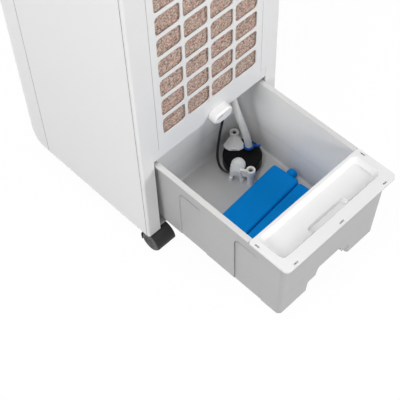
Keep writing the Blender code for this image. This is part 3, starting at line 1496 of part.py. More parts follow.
def caster_hood(name, place, boss, swivel, black):
    x, y = place
    axle = (y + CASTER_TRAIL, AXLE_HEIGHT)
    inner = AXLE_HEIGHT + HOOD_GAP
    outer = inner + HOOD_THICK
    shell = arc(axle, outer, -5, 205, 3 * ROUND_STEPS) + arc(axle, inner, 205, -5, 3 * ROUND_STEPS)
    shape = prism("X", shell, x - CASTER_HALF, x + CASTER_HALF)
    hood = piece(f"caster_hood_{name}", shape, black, swivel, (x, y, Z_BASE))
    middle = (inner + outer) / 2
    web = arc(axle, middle, -5, 205, 3 * ROUND_STEPS)
    join(hood, prism("X", web, x - HOOD_WEB, x + HOOD_WEB))
    post_foot = AXLE_HEIGHT + inner * 0.75
    post = [(COLLAR_RADIUS, post_foot), (COLLAR_RADIUS, Z_BASE - FIT), (STEM_RADIUS, Z_BASE - FIT / 2)]
    post.append((STEM_RADIUS, Z_BASE + boss - FIT))
    join(hood, turned("Z", (x, y), post))
    clear = inner - HOOD_GAP / 3
    spans = [sorted((x + side * HOOD_WEB, x + side * 2 * CASTER_HALF)) for side in (-1, 1)]
    cut(hood, together([rod("X", axle, clear, *span) for span in spans]))
    cut(hood, rod("X", axle, AXLE_RADIUS + FIT, x - CASTER_HALF, x + CASTER_HALF, SMALL_CIRCLE))


def caster_wheels(name, x, y, swivel, dark):
    """Two wheels on their axle, one solid, with dished faces and rounded treads."""
    radius = WHEEL_DIAMETER / 2
    inside = HOOD_WEB + 2 * FIT
    tread = 4 * HOOD_GAP
    half = [
        (radius * 0.62, CASTER_HALF - tread / 2),
        (radius * 0.68, CASTER_HALF),
        (radius - tread / 2, CASTER_HALF),
        (radius, CASTER_HALF - tread / 2),
        (radius, inside + FIT),
        (AXLE_RADIUS, inside),
    ]
    profile = [(r, x - along) for r, along in half] + [(r, x + along) for r, along in reversed(half)]
    wheels = turned("X", (y, AXLE_HEIGHT), profile, WHEEL_CIRCLE)
    piece(f"caster_wheels_{name}", wheels, dark, swivel, (x, y, AXLE_HEIGHT))


def cord_gland(root, black):
    """The cord's bushing in the side wall, flush outside and flanged inside."""
    outer, wall = FIT / 3 - HALF, WALL - HALF
    centre = (-GLAND_DEPTH, GLAND_HEIGHT)
    flange = GLAND_RADIUS + WALL
    profile = [
        (GLAND_RADIUS, outer),
        (GLAND_RADIUS, wall + FIT),
        (flange, wall + 2 * FIT),
        (flange, wall + WALL),
        (GLAND_RADIUS, wall + WALL + FIT),
        (GLAND_RADIUS, outer + GLAND_LENGTH),
    ]
    gland = piece("cord_gland", turned("X", centre, profile), black, root)
    cut(gland, rod("X", centre, GLAND_BORE, outer - WALL, outer + 2 * GLAND_LENGTH, SMALL_CIRCLE))


def main():
    clear_scene()
    white = finish("white moulding", (0.80, 0.81, 0.82), 0.42)
    pale = finish("pale tank plastic", (0.55, 0.56, 0.57), 0.45)
    grey = finish("grey moulding", (0.42, 0.43, 0.44), 0.50)
    light = finish("light grey moulding", (0.62, 0.62, 0.60), 0.45)
    dark = finish("dark moulding", (0.06, 0.06, 0.065), 0.50)
    black = finish("black moulding", (0.012, 0.012, 0.013), 0.45)
    blue = finish("blue pack plastic", (0.0, 0.16, 0.52), 0.40)
    clip_blue = finish("blue clip plastic", (0.02, 0.10, 0.40), 0.40)
    straw = finish("pad fibre", (0.38, 0.25, 0.19), 0.95)
    glass = finish("display lens", (0.02, 0.025, 0.03), 0.10)
    steel = finish("zinc steel", (0.62, 0.63, 0.65), 0.30, 1.0)
    green = finish("circuit board", (0.03, 0.16, 0.07), 0.50)
    root = carrier("cooler", (0, (BODY_DEPTH + OUTLET_PROUD - TANK_REACH) / 2, 0))
    rear_housing(root, white)
    front_shell(root, white)
    base_pan(root, grey)
    tank_rails(root, grey)
    mid_deck(root, grey)
    top_cover(root, white)
    intake_grille(root, white)
    latch_knob(root, white)
    cooling_pad(root, straw)
    water_trough(root, light)
    water_riser(root, light)
    blower_scroll(root, grey)
    blower_wheel(root, light)
    blower_motor(root, dark)
    outlet_frame(root, dark)
    louvres(root, white)
    louvre_link(root, dark)
    vanes(root, dark)
    vane_link(root, dark)
    swing_motor(root, light)
    control_panel(root, dark)
    buttons(root, white)
    display_lens(root, glass)
    control_board(root, green)
    cord_gland(root, black)
    casters(root, black, dark)
    slide = carrier("tank_slide", (0, TANK_REACH, Z_TANK), root)
    tank(slide, pale)
    tank_lid(slide, white)
    ice_packs(slide, blue)
    pump_motor(slide, black)
    pump_impeller(slide, light)
    pump_lug(slide, light)
    pump_cover(slide, light)
    pump_screws(slide, steel)
    hose(slide, light)
    hose_clip(slide, clip_blue)
    pump_cable(slide, black)


main()
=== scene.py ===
"""Looks of an evaporative cooler with its water tank drawn out.

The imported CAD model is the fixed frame, in metres, +Z up, with the rear and the tank towards +Y. Rigid
solids are shown through finished copies with softened edges. The hose, the cable, the ice packs, the fibre
pad and the caster wheels are surfaces worked out with numpy in the same frame.
"""

import json
import logging
import math
from collections.abc import Iterable, Sequence
from dataclasses import dataclass
from enum import Enum

import bmesh
import bpy
import numpy as np
from mathutils import Matrix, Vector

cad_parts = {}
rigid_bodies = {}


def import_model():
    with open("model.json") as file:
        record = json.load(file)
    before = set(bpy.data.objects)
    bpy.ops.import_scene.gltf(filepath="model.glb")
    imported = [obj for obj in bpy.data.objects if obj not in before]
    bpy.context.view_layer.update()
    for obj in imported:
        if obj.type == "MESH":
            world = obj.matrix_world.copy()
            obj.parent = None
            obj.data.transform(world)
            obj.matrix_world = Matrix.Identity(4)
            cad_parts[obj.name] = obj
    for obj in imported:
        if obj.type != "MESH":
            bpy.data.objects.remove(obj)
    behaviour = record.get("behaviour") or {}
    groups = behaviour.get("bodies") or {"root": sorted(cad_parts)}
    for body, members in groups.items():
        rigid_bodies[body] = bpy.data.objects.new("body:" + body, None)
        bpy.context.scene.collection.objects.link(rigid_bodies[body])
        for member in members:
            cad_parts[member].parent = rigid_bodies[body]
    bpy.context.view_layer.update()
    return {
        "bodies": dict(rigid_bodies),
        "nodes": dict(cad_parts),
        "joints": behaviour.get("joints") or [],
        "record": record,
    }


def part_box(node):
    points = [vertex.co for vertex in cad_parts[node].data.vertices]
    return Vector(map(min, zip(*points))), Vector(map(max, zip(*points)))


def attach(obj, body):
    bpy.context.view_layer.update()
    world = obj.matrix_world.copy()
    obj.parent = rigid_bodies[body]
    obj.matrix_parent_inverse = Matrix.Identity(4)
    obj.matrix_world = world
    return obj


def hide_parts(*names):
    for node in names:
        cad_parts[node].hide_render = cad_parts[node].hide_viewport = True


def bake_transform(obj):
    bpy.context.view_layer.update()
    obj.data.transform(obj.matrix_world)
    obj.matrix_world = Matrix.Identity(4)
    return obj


LOG = logging.getLogger("cooler")
SHIFT_Y = 0.034  # from the body's own frame, whose y = 0 is the rear face, to the row frame
CLEARANCE = 0.0003
Z_PANEL = 0.2266  # the grille's bottom edge
Z_WELL = 0.0576  # the tank's floor, inside
UP = (0.0, 0.0, 1.0)
Triple = tuple[float, float, float]
Array = np.ndarray
Socket = bpy.types.NodeSocket
Sockets = dict[str, Socket]


# Shapes


SMOOTH_ANGLE = math.radians(38)  # new pieces keep edges that turn more than this
ARC_SHARE = 0.45  # of a profile's side that a rounded corner takes, at most
LATTICE = 256  # random values along each side of a noise's lattice


def body_point(x: float, y: float, z: float) -> Array:
    """A point of the body's own frame, in the row frame."""
    return np.array((x, y + SHIFT_Y, z))


def unit(vectors: Array) -> Array:
    """Vectors along the last axis, scaled to length one."""
    return vectors / np.linalg.norm(vectors, axis=-1, keepdims=True)


def smoothstep(share: Array) -> Array:
    """The curve 3 t^2 - 2 t^3, which is level at both of its ends, 0 and 1."""
    return share * share * (3 - 2 * share)


def ring_angles(count: int) -> Array:
    """Equal steps round a circle, in radians, without the repeated end."""
    return np.linspace(0.0, 2 * np.pi, count, endpoint=False)


def numbered(name: str, count: int) -> list[str]:
    """The names of a row of pieces, counted from one."""
    return [f"{name}_{number}" for number in range(1, count + 1)]


def mesh_values(parts: bpy.types.bpy_prop_collection, name: str) -> Array:
    """A vector property of all of a mesh's vertices or polygons.

    Args:
        parts: The vertices or polygons.
        name: Of the property.

    Returns:
        An array of n x 3.
    """
    values = np.empty(3 * len(parts))
    parts.foreach_get(name, values)
    return values.reshape(-1, 3)


def add_object(name: str, data: bpy.types.ID) -> bpy.types.Object:
    """Puts a mesh, camera or lamp into the scene, at the origin.

    Args:
        name: The object's name.
        data: What it shows.

    Returns:
        The new object.
    """
    obj = bpy.data.objects.new(name, data)
    bpy.context.scene.collection.objects.link(obj)
    return obj


def aimed(right: Array, up: Array, back: Array, place: Triple) -> Matrix:
    """The matrix of a camera or lamp from its own three axes and its place."""
    return Matrix([*np.column_stack([right, up, back, place]).tolist(), [0.0, 0.0, 0.0, 1.0]])


def surface(name: str, points: Array) -> bpy.types.Object:
    """A smooth object from a grid of points that closes on itself along its columns.

    Quad (i, j) joins rows i and i + 1 and columns j and j + 1, the last column joins the first, and each
    end row is closed by one flat face. Its UV map holds (column share, row share).

    Args:
        name: The object's name.
        points: An array of rows x columns x 3.

    Returns:
        The new object, at the origin.
    """
    rows, columns = points.shape[:2]
    i, j = np.meshgrid(np.arange(rows - 1), np.arange(columns), indexing="ij")
    across = (j + 1) % columns
    here, after = i * columns, (i + 1) * columns
    quads = np.stack([here + j, here + across, after + across, after + j], -1)
    u = np.stack([j, j + 1, j + 1, j], -1) / columns
    v = np.stack([i, i, i + 1, i + 1], -1) / max(rows - 1, 1)
    ring = np.arange(columns)
    faces = [*quads.reshape(-1, 4).tolist(), ring[::-1].tolist(), (ring + (rows - 1) * columns).tolist()]
    coordinates = np.vstack([np.stack([u, v], -1).reshape(-1, 2), np.zeros((2 * columns, 2))])
    return mesh_object(name, points.reshape(-1, 3), faces, coordinates)


def mesh_object(
    name: str, points: Array, faces: list[list[int]], loops_uv: Array | None = None
) -> bpy.types.Object:
    """An object in the scene from points and faces, shaded smooth, with its normals turned outwards.

    Args:
        name: The object's name.
        points: An array of points.
        faces: Vertex numbers of each face.
        loops_uv: One UV pair for each corner of each face, in their order.

    Returns:
        The new object, at the origin.
    """
    mesh = bpy.data.meshes.new(name)
    mesh.from_pydata(points, [], faces)
    if loops_uv is not None:
        layer = mesh.uv_layers.new(name="surface")
        layer.data.foreach_set("uv", np.asarray(loops_uv, np.float32).ravel())
    work = bmesh.new()
    work.from_mesh(mesh)
    bmesh.ops.recalc_face_normals(work, faces=work.faces)
    work.to_mesh(mesh)
    work.free()
    mesh.shade_smooth()
    mesh.set_sharp_from_angle(angle=SMOOTH_ANGLE)
    return add_object(name, mesh)


def tube_points(path: Array, radius: float, sides: int, reference: Triple) -> Array:
    """A circle carried along a path: path + radius (cos a * n + sin a * b).

    The normal n is the reference direction less its part along the tangent, and b = t x n.

    Args:
        path: Points of the centreline.
        radius: Of the tube.
        sides: Columns round it.
        reference: A direction that the path never follows.

    Returns:
        Rows x columns x 3 points.
    """
    tangent = unit(np.gradient(path, axis=0))
    base = np.asarray(reference) - (tangent @ np.asarray(reference))[:, None] * tangent
    normal = unit(base)
    side = np.cross(tangent, normal)
    turn = ring_angles(sides)
    circle = np.cos(turn)[None, :, None] * normal[:, None] + np.sin(turn)[None, :, None] * side[:, None]
    return path[:, None] + radius * circle


def turned_points(profile: Array, centre: Array, axis: int, sides: int, ripple: Array | None = None) -> Array:
    """A profile of (radius, place along the axis) turned about an axis through a centre.

    Args:
        profile: Pairs of radius and place.
        centre: A point on the axis; its own coordinate along the axis is added to the places.
        axis: 0, 1 or 2.
        sides: Columns round it.
        ripple: Added to the radius, for each column, in proportion to the third profile value where given.

    Returns:
        Rows x columns x 3 points.
    """
    turn = ring_angles(sides)
    radius = np.repeat(profile[:, :1], sides, axis=1)
    if ripple is not None:
        radius = radius + profile[:, 2:3] * ripple[None, :]
    points = np.empty((len(profile), sides, 3))
    first, second = (axis + 1) % 3, (axis + 2) % 3
    points[..., first] = centre[first] + radius * np.cos(turn)
    points[..., second] = centre[second] + radius * np.sin(turn)
    points[..., axis] = centre[axis] + profile[:, 1:2]
    return points


def round_profile(corners: Array, radius: float, steps: int = 4) -> Array:
    """A polyline whose inner corners are replaced by short quadratic arcs.

    Each corner c between neighbours p and n becomes (1 - t)^2 a + 2 t (1 - t) c + t^2 b, where a and b lie
    at most the radius away from c on its two sides.

    Args:
        corners: Points in the plane.
        radius: How far each arc reaches from its corner.
        steps: Points of each arc.

    Returns:
        The rounded polyline.
    """
    before, here, after = corners[:-2], corners[1:-1], corners[2:]
    sides = np.stack([before - here, after - here])
    reach = np.minimum(radius, ARC_SHARE * np.linalg.norm(sides, axis=-1))[..., None]
    a, b = here + unit(sides) * reach
    t = np.linspace(0.0, 1.0, steps)[None, :, None]
    arcs = (1 - t) ** 2 * a[:, None] + 2 * t * (1 - t) * here[:, None] + t**2 * b[:, None]
    return np.vstack([corners[:1], arcs.reshape(-1, 2), corners[-1:]])


def catmull_rom(points: Array, per_span: int) -> Array:
    """Points on a Catmull-Rom curve through a route, with reflected ends.

    Between b and c, with a before and d after them, the curve is half of
    2 b + (c - a) t + (2 a - 5 b + 4 c - d) t^2 + (3 b - a - 3 c + d) t^3.

    Args:
        points: The route.
        per_span: Points from each of its points to the next.

    Returns:
        An array of points.
    """
    padded = np.vstack([2 * points[0] - points[1], points, 2 * points[-1] - points[-2]])
    a, b, c, d = (padded[k : len(padded) - 3 + k, None] for k in range(4))
    t = np.linspace(0.0, 1.0, per_span, endpoint=False)[None, :, None]
    square, cube = (2 * a - 5 * b + 4 * c - d) * t**2, (3 * b - a - 3 * c + d) * t**3
    curve = 0.5 * (2 * b + (c - a) * t + square + cube)
    return np.vstack([curve.reshape(-1, 3), points[-1:]])


def lattice_noise(across: Array, up: Array, cell: float, seed: int) -> Array:
    """Smooth noise from 0 to 1: random values on a square lattice, blended by smoothstep between them.

    Args:
        across: First coordinate of each point.
        up: Second coordinate of each point.
        cell: Lattice pitch.
        seed: For the random values.

    Returns:
        An array of the coordinates' shape.
    """
    values = np.random.default_rng(seed).random((LATTICE, LATTICE))
    x, y = across / cell, up / cell
    column, row = np.floor(x).astype(int), np.floor(y).astype(int)
    fx, fy = smoothstep(x - column), smoothstep(y - row)
    corner = [[values[(row + r) % LATTICE, (column + c) % LATTICE] for c in (0, 1)] for r in (0, 1)]
    low = corner[0][0] * (1 - fx) + corner[0][1] * fx
    high = corner[1][0] * (1 - fx) + corner[1][1] * fx
    return low * (1 - fy) + high * fy


# Shared effects


GROUP_OUTPUTS = {"Colour": "NodeSocketColor", "Roughness": "NodeSocketFloat", "Height": "NodeSocketFloat"}
NOISE_MIDDLE = 0.5
WHITE = (1.0, 1.0, 1.0, 1.0)
DUST_COLOUR = (0.62, 0.60, 0.57, 1.0)
DUST_FROM = 0.75  # rise of a face's normal above which dust lies on it
DUST_ROUGHNESS = 0.3
GLOSS_SWING = 0.12
# Painted shade in narrow grooves, at the shells' joint and on pocket walls: a near black, mixed in at this
# share times the mesh's attribute
PAINTED_SHADE_COLOUR = (0.02, 0.02, 0.02, 1.0)
PAINTED_SHADE_SHARE = 0.60
FIBRE_RUNS = ((0.5, 3.2), (-0.7, 2.8), (1.45, 3.6))  # turn and stretch of each layer
FIBRE_TONES = (
    (0.42, (0.10, 0.065, 0.055)),
    (0.48, (0.27, 0.18, 0.15)),
    (0.53, (0.43, 0.305, 0.255)),
    (0.59, (0.55, 0.42, 0.36)),
    (0.66, (0.70, 0.58, 0.52)),
)
FIBRE_TINTS = (
    (0.36, (1.0, 0.84, 0.88)),
    (0.46, (1.0, 0.97, 0.90)),
    (0.54, (0.96, 1.0, 0.93)),
    (0.64, (0.86, 0.93, 1.0)),
)


def socket_value(value: float | Triple) -> float | tuple[float, ...]:
    """A number as it is, or a colour with its alpha."""
    return (*value, 1.0) if isinstance(value, tuple) else value


class Shader:
    """A node tree with short calls to add and join nodes."""

    def __init__(self, tree: bpy.types.NodeTree) -> None:
        """Keeps the tree."""
        self.tree = tree

    def node(
        self, kind: str, inputs: dict[str | int, object] | None = None, **settings: object
    ) -> bpy.types.Node:
        """Adds a node.

        Args:
            kind: Its type without the leading "ShaderNode".
            inputs: For each input, a socket to link from or a value.
            **settings: Attributes of the node.

        Returns:
            The node.
        """
        made = self.tree.nodes.new("ShaderNode" + kind)
        for key, value in settings.items():
            setattr(made, key, value)
        for key, value in (inputs or {}).items():
            if isinstance(value, Socket):
                self.tree.links.new(value, made.inputs[key])
            else:
                made.inputs[key].default_value = value
        return made

    def math(self, operation: str, first: object, second: object = 0.0, clamp: bool = False) -> Socket:
        """The result of a Math node."""
        return self.node("Math", {0: first, 1: second}, operation=operation, use_clamp=clamp).outputs[0]

    def mix(self, factor: object, first: object, second: object, blend: str = "MIX") -> Socket:
        """The colour of a Mix node."""
        made = self.node("Mix", {0: factor, 6: first, 7: second}, data_type="RGBA", blend_type=blend)
        return made.outputs[2]

    def noise(self, vector: object, scale: object, detail: float = 2.0, rough: float = 0.5) -> Socket:
        """The value of a noise texture."""
        inputs = {"Vector": vector, "Scale": scale, "Detail": detail, "Roughness": rough}
        return self.node("TexNoise", inputs).outputs["Fac"]

    def ramp(self, factor: object, stops: Sequence[tuple[float, Triple]]) -> Socket:
        """The colour of a ramp.

        Args:
            factor: Where on the ramp.
            stops: Places and colours.

        Returns:
            The colour.
        """
        made = self.node("ValToRGB", {0: factor})
        elements = made.color_ramp.elements
        while len(elements) < len(stops):
            elements.new(0.5)  # its true place is set below
        for element, (place, colour) in zip(elements, stops):
            element.position = place
            element.color = (*colour, 1.0)
        return made.outputs["Color"]

    def object_place(self) -> Socket:
        """Object coordinates."""
        return self.node("TexCoord").outputs["Object"]

    def attribute(self, name: str) -> Socket:
        """The value of one of the mesh's attributes."""
        return self.node("Attribute", attribute_name=name).outputs["Fac"]

    def stretched(self, vector: Socket, scale: Triple, turn: float = 0.0) -> Socket:
        """Coordinates turned about Y and scaled."""
        inputs = {"Vector": vector, "Rotation": (0.0, turn, 0.0), "Scale": scale}
        return self.node("Mapping", inputs).outputs[0]

    def rise(self, vector: Socket) -> Socket:
        """The third coordinate of a vector."""
        return self.node("SeparateXYZ", {0: vector}).outputs[2]

    def swing(self, value: Socket, amount: object) -> Socket:
        """A noise value's swing about its middle, times an amount."""
        return self.math("MULTIPLY", self.math("SUBTRACT", value, NOISE_MIDDLE), amount)

    def between(self, low: float, high: float, share: Socket) -> Socket:
        """A value that goes from low to high as the share goes from 0 to 1."""
        return self.math("ADD", low, self.math("MULTIPLY", share, high - low))

    def blend(self, first: Socket, second: Socket, share: float) -> Socket:
        """Two values added, the second with its share and the first with the rest."""
        return self.math("ADD", self.math("MULTIPLY", first, 1 - share), self.math("MULTIPLY", second, share))

    def grey(self, level: Socket) -> Socket:
        """A grey of this level."""
        return self.node("CombineColor", {0: level, 1: level, 2: level}).outputs[0]

    def tinted(self, colour: object, level: Socket) -> Socket:
        """A colour times a level."""
        return self.mix(1.0, colour, self.grey(level), "MULTIPLY")

    def seen(self) -> Socket:
        """Which rays see the pale background as it is: those of the camera, of gloss and of transmission.

        Returns:
            One for these rays, zero for the rest.
        """
        path = self.node("LightPath").outputs
        direct = self.math("MAXIMUM", path["Is Camera Ray"], path["Is Transmission Ray"])
        return self.math("MAXIMUM", direct, path["Is Glossy Ray"])


def lay_moulded(s: Shader, given: Sockets) -> Sockets:
    """Fine spark-eroded grain, slow changes of tone and gloss, and a little dust where the surface faces up.

    Faces that the mesh's painted-shade attribute marks are darkened towards near black: painted shade in
    grooves, joints and recesses.

    Args:
        s: The group's nodes.
        given: Its input sockets.

    Returns:
        A socket for each output.
    """
    place = s.object_place()
    grain = s.noise(place, given["Grain"], detail=3.0, rough=0.6)
    broad = s.noise(place, scale=7.0, detail=3.0, rough=0.55)
    tone = s.math("ADD", s.swing(grain, given["Fleck"]), s.swing(broad, given["Tone"]))
    toned = s.tinted(given["Colour"], s.math("ADD", tone, 1.0))
    rise = s.rise(s.node("NewGeometry").outputs["Normal"])
    facing = s.math("MULTIPLY", s.math("SUBTRACT", rise, DUST_FROM), 1 / (1 - DUST_FROM), clamp=True)
    patch = s.math("MULTIPLY", s.noise(place, scale=38.0, detail=5.0, rough=0.62), facing)
    dust = s.math("MULTIPLY", patch, given["Dust"])
    # painted shade: faces in grooves, at the shells' joint and on pocket walls are mixed towards near black
    shaded = s.mix(s.math("MULTIPLY", s.attribute("seam"), PAINTED_SHADE_SHARE), toned, PAINTED_SHADE_COLOUR)
    rough = s.math("ADD", given["Roughness"], s.swing(broad, GLOSS_SWING))
    return {
        "Colour": s.mix(dust, shaded, DUST_COLOUR),
        "Roughness": s.math("ADD", rough, s.math("MULTIPLY", dust, DUST_ROUGHNESS), clamp=True),
        "Height": grain,
    }


def lay_fibre(s: Shader, given: Sockets) -> Sockets:
    """Crossed wood-wool fibres: three stretched noises laid in turned directions, in pink, straw and grey.

    Args:
        s: The group's nodes.
        given: Its input sockets.

    Returns:
        A socket for each output.
    """
    speck_scale, speck_share, dye_scale, least_rough = 1.3, 0.45, 0.55, 0.8
    place = s.object_place()
    runs = [s.stretched(place, (1.0, 1.0, stretch), turn) for turn, stretch in FIBRE_RUNS]
    first, second, third = (s.noise(run, given["Scale"], detail=3.0, rough=0.6) for run in runs)
    woven = s.math("MAXIMUM", s.math("MAXIMUM", first, second), third)
    speck = s.noise(place, s.math("MULTIPLY", given["Scale"], speck_scale))
    value = s.blend(woven, speck, speck_share)
    dye = s.noise(place, s.math("MULTIPLY", given["Scale"], dye_scale), detail=1.0)
    dyed = s.mix(1.0, s.ramp(value, FIBRE_TONES), s.ramp(dye, FIBRE_TINTS), "MULTIPLY")
    return {
        "Colour": s.mix(1.0, dyed, given["Colour"], "MULTIPLY"),
        "Roughness": s.between(least_rough, 1.0, speck),
        "Height": value,
    }


def lay_jacket(s: Shader, given: Sockets) -> Sockets:
    """Extruded rubber: faint lines along the cord, from its UV map, and slow changes of tone.

    Args:
        s: The group's nodes.
        given: Its input sockets.

    Returns:
        A socket for each output.
    """
    along, lines_share, darkest, lightest, gloss_swing = (1.0, 0.04, 1.0), 0.3, 0.88, 1.12, 0.2
    lines = s.noise(s.stretched(s.node("TexCoord").outputs["UV"], along), given["Lines"])
    slow = s.noise(s.object_place(), scale=60.0, detail=3.0)
    return {
        "Colour": s.tinted(given["Colour"], s.between(darkest, lightest, s.blend(slow, lines, lines_share))),
        "Roughness": s.math("ADD", given["Roughness"], s.swing(slow, gloss_swing)),
        "Height": lines,
    }


def lay_wetted(s: Shader, given: Sockets) -> Sockets:
    """A tank's plastic: grained outside and smooth inside, where painted light makes it paler, with drag
    marks and a faint tide line.

    Which faces are inside, and how much of the painted light each takes, is read from the mesh's own "inside"
    attribute.

    Args:
        s: The group's nodes.
        given: Its input sockets.

    Returns:
        A socket for each output.
    """
    upwards, wander, sharpness, stain, scuff, dulled = (1.0, 1.0, 0.06), 0.006, 160.0, 0.05, 0.04, 0.08
    place, inside = s.object_place(), s.attribute("inside")
    # painted light: the inside takes a paler colour than the outside, as if more lit
    colour = s.mix(inside, given["Colour"], given["Inner"])
    inputs = {"Colour": colour, "Roughness": given["Roughness"], "Dust": 0.0}
    plain = s.node("Group", inputs, node_tree=Pattern.MOULDED.group()).outputs
    drag = s.noise(s.stretched(place, upwards), scale=220.0)
    height = s.math("ADD", s.rise(place), s.math("MULTIPLY", s.noise(place, scale=30.0), wander))
    away = s.math("ABSOLUTE", s.math("SUBTRACT", height, given["Tide"]))
    line = s.math("SUBTRACT", 1.0, s.math("MULTIPLY", away, sharpness), clamp=True)
    mask = s.math("ADD", s.math("MULTIPLY", line, stain), s.swing(drag, scuff))
    return {
        "Colour": s.tinted(plain["Colour"], s.math("SUBTRACT", 1.0, s.math("MULTIPLY", mask, inside))),
        "Roughness": s.math("ADD", plain["Roughness"], s.math("MULTIPLY", line, dulled)),
        "Height": s.math("MULTIPLY", plain["Height"], s.math("SUBTRACT", 1.0, inside)),
    }


def lay_brushed(s: Shader, given: Sockets) -> Sockets:
    """Drawn metal: fine lines along one direction, and spots of dull plating.

    Args:
        s: The group's nodes.
        given: Its input sockets.

    Returns:
        A socket for each output.
    """
    upwards, darkest, gloss_swing = (1.0, 1.0, 0.05), 0.85, 0.25
    place = s.object_place()
    lines = s.noise(s.stretched(place, upwards), scale=2400.0)
    spots = s.noise(place, scale=260.0, detail=3.0, rough=0.55)
    return {
        "Colour": s.tinted(given["Colour"], s.between(darkest, 1.0, s.math("ADD", lines, spots))),
        "Roughness": s.math("ADD", given["Roughness"], s.swing(spots, gloss_swing)),
        "Height": lines,
    }


class Pattern(Enum):
    """A shared effect: its group's name, its inputs with their defaults, and what lays its nodes."""

    MOULDED = (
        "moulded surface",
        {
            "Colour": (0.8, 0.8, 0.8),
            "Grain": 1400.0,
            "Tone": 0.03,
            "Fleck": 0.02,
            "Dust": 0.03,
            "Roughness": 0.45,
        },
        lay_moulded,
    )
    FIBRE = ("crossed fibres", {"Colour": (1.0, 1.0, 1.0), "Scale": 290.0}, lay_fibre)
    JACKET = ("cord jacket", {"Colour": (0.6, 0.6, 0.6), "Lines": 40.0, "Roughness": 0.45}, lay_jacket)
    WETTED = (
        "wetted plastic",
        {"Colour": (0.45, 0.45, 0.45), "Inner": (0.6, 0.6, 0.6), "Roughness": 0.45, "Tide": 0.118},
        lay_wetted,
    )
    BRUSHED = ("drawn metal", {"Colour": (0.62, 0.63, 0.65), "Roughness": 0.32}, lay_brushed)

    def group(self) -> bpy.types.NodeTree:
        """The effect's shader node group, built on first use.

        Returns:
            The group.
        """
        name, inputs, lay = self.value
        found = bpy.data.node_groups.get(name)
        if found is not None:
            return found
        group = bpy.data.node_groups.new(name, "ShaderNodeTree")
        for key, value in inputs.items():
            kind = "NodeSocketColor" if isinstance(value, tuple) else "NodeSocketFloat"
            socket = group.interface.new_socket(key, in_out="INPUT", socket_type=kind)
            socket.default_value = socket_value(value)
        for key, kind in GROUP_OUTPUTS.items():
            group.interface.new_socket(key, in_out="OUTPUT", socket_type=kind)
        entry, end = group.nodes.new("NodeGroupInput"), group.nodes.new("NodeGroupOutput")
        for key, socket in lay(Shader(group), {key: entry.outputs[key] for key in inputs}).items():
            group.links.new(socket, end.inputs[key])
        return group


# Finishes


@dataclass(frozen=True)
class Finish:
    """One material: a shared pattern with its own values, and the constants of its shader.

    Attributes:
        name: Of the material.
        pattern: The shared effect.
        values: Inputs of the effect; "Colour" is a triple.
        relief: Height of the bump, in metres; no bump where it is zero.
        constants: Values set on the shader's own sockets.
    """

    name: str
    pattern: Pattern
    values: tuple[tuple[str, float | Triple], ...]
    relief: float = 0.0
    constants: tuple[tuple[str, float], ...] = ()

    def material(self) -> bpy.types.Material:
        """The material, made on first use.

        Returns:
            The material.
        """
        found = bpy.data.materials.get(self.name)
        if found is not None:
            return found
        material = bpy.data.materials.new(self.name)
        material.use_nodes = True
        shader = Shader(material.node_tree)
        principled = material.node_tree.nodes["Principled BSDF"]
        effect = shader.node("Group", node_tree=self.pattern.group())
        for key, value in self.values:
            effect.inputs[key].default_value = socket_value(value)
        links = material.node_tree.links
        links.new(effect.outputs["Colour"], principled.inputs["Base Color"])
        links.new(effect.outputs["Roughness"], principled.inputs["Roughness"])
        if self.relief > 0:
            inputs = {"Strength": 1.0, "Distance": self.relief, "Height": effect.outputs["Height"]}
            links.new(shader.node("Bump", inputs).outputs["Normal"], principled.inputs["Normal"])
        for key, value in self.constants:
            principled.inputs[key].default_value = value
        return material


def grey(level: float) -> Triple:
    """A grey of this level."""
    return (level, level, level)


def coloured(
    name: str,
    pattern: Pattern,
    colour: Triple,
    rough: float,
    relief: float,
    constants: tuple[tuple[str, float], ...] = (),
    **more: float | Triple,
) -> Finish:
    """A finish with a colour and a roughness.

    Args:
        name: Of the material.
        pattern: The shared effect.
        colour: Base colour.
        rough: Middle of the roughness.
        relief: Height of the bump, in metres.
        constants: Values set on the shader's own sockets.
        **more: Other inputs of the effect, by name.

    Returns:
        The finish.
    """
    values = (("Colour", colour), ("Roughness", rough), *more.items())
    return Finish(name, pattern, values, relief, constants)


def moulded(
    name: str, colour: Triple, rough: float, tone: float, relief: float, specular: float = 0.5, **more: float
) -> Finish:
    """A moulded plastic finish.

    Args:
        name: Of the material.
        colour: Base colour.
        rough: Middle of the roughness.
        tone: How much the tone changes over the surface.
        relief: Height of the grain, in metres.
        specular: Strength of the reflection.
        **more: Other inputs of the effect, by name.

    Returns:
        The finish.
    """
    constants = (("Specular IOR Level", specular),)
    return coloured(name, Pattern.MOULDED, colour, rough, relief, constants, Tone=tone, **more)


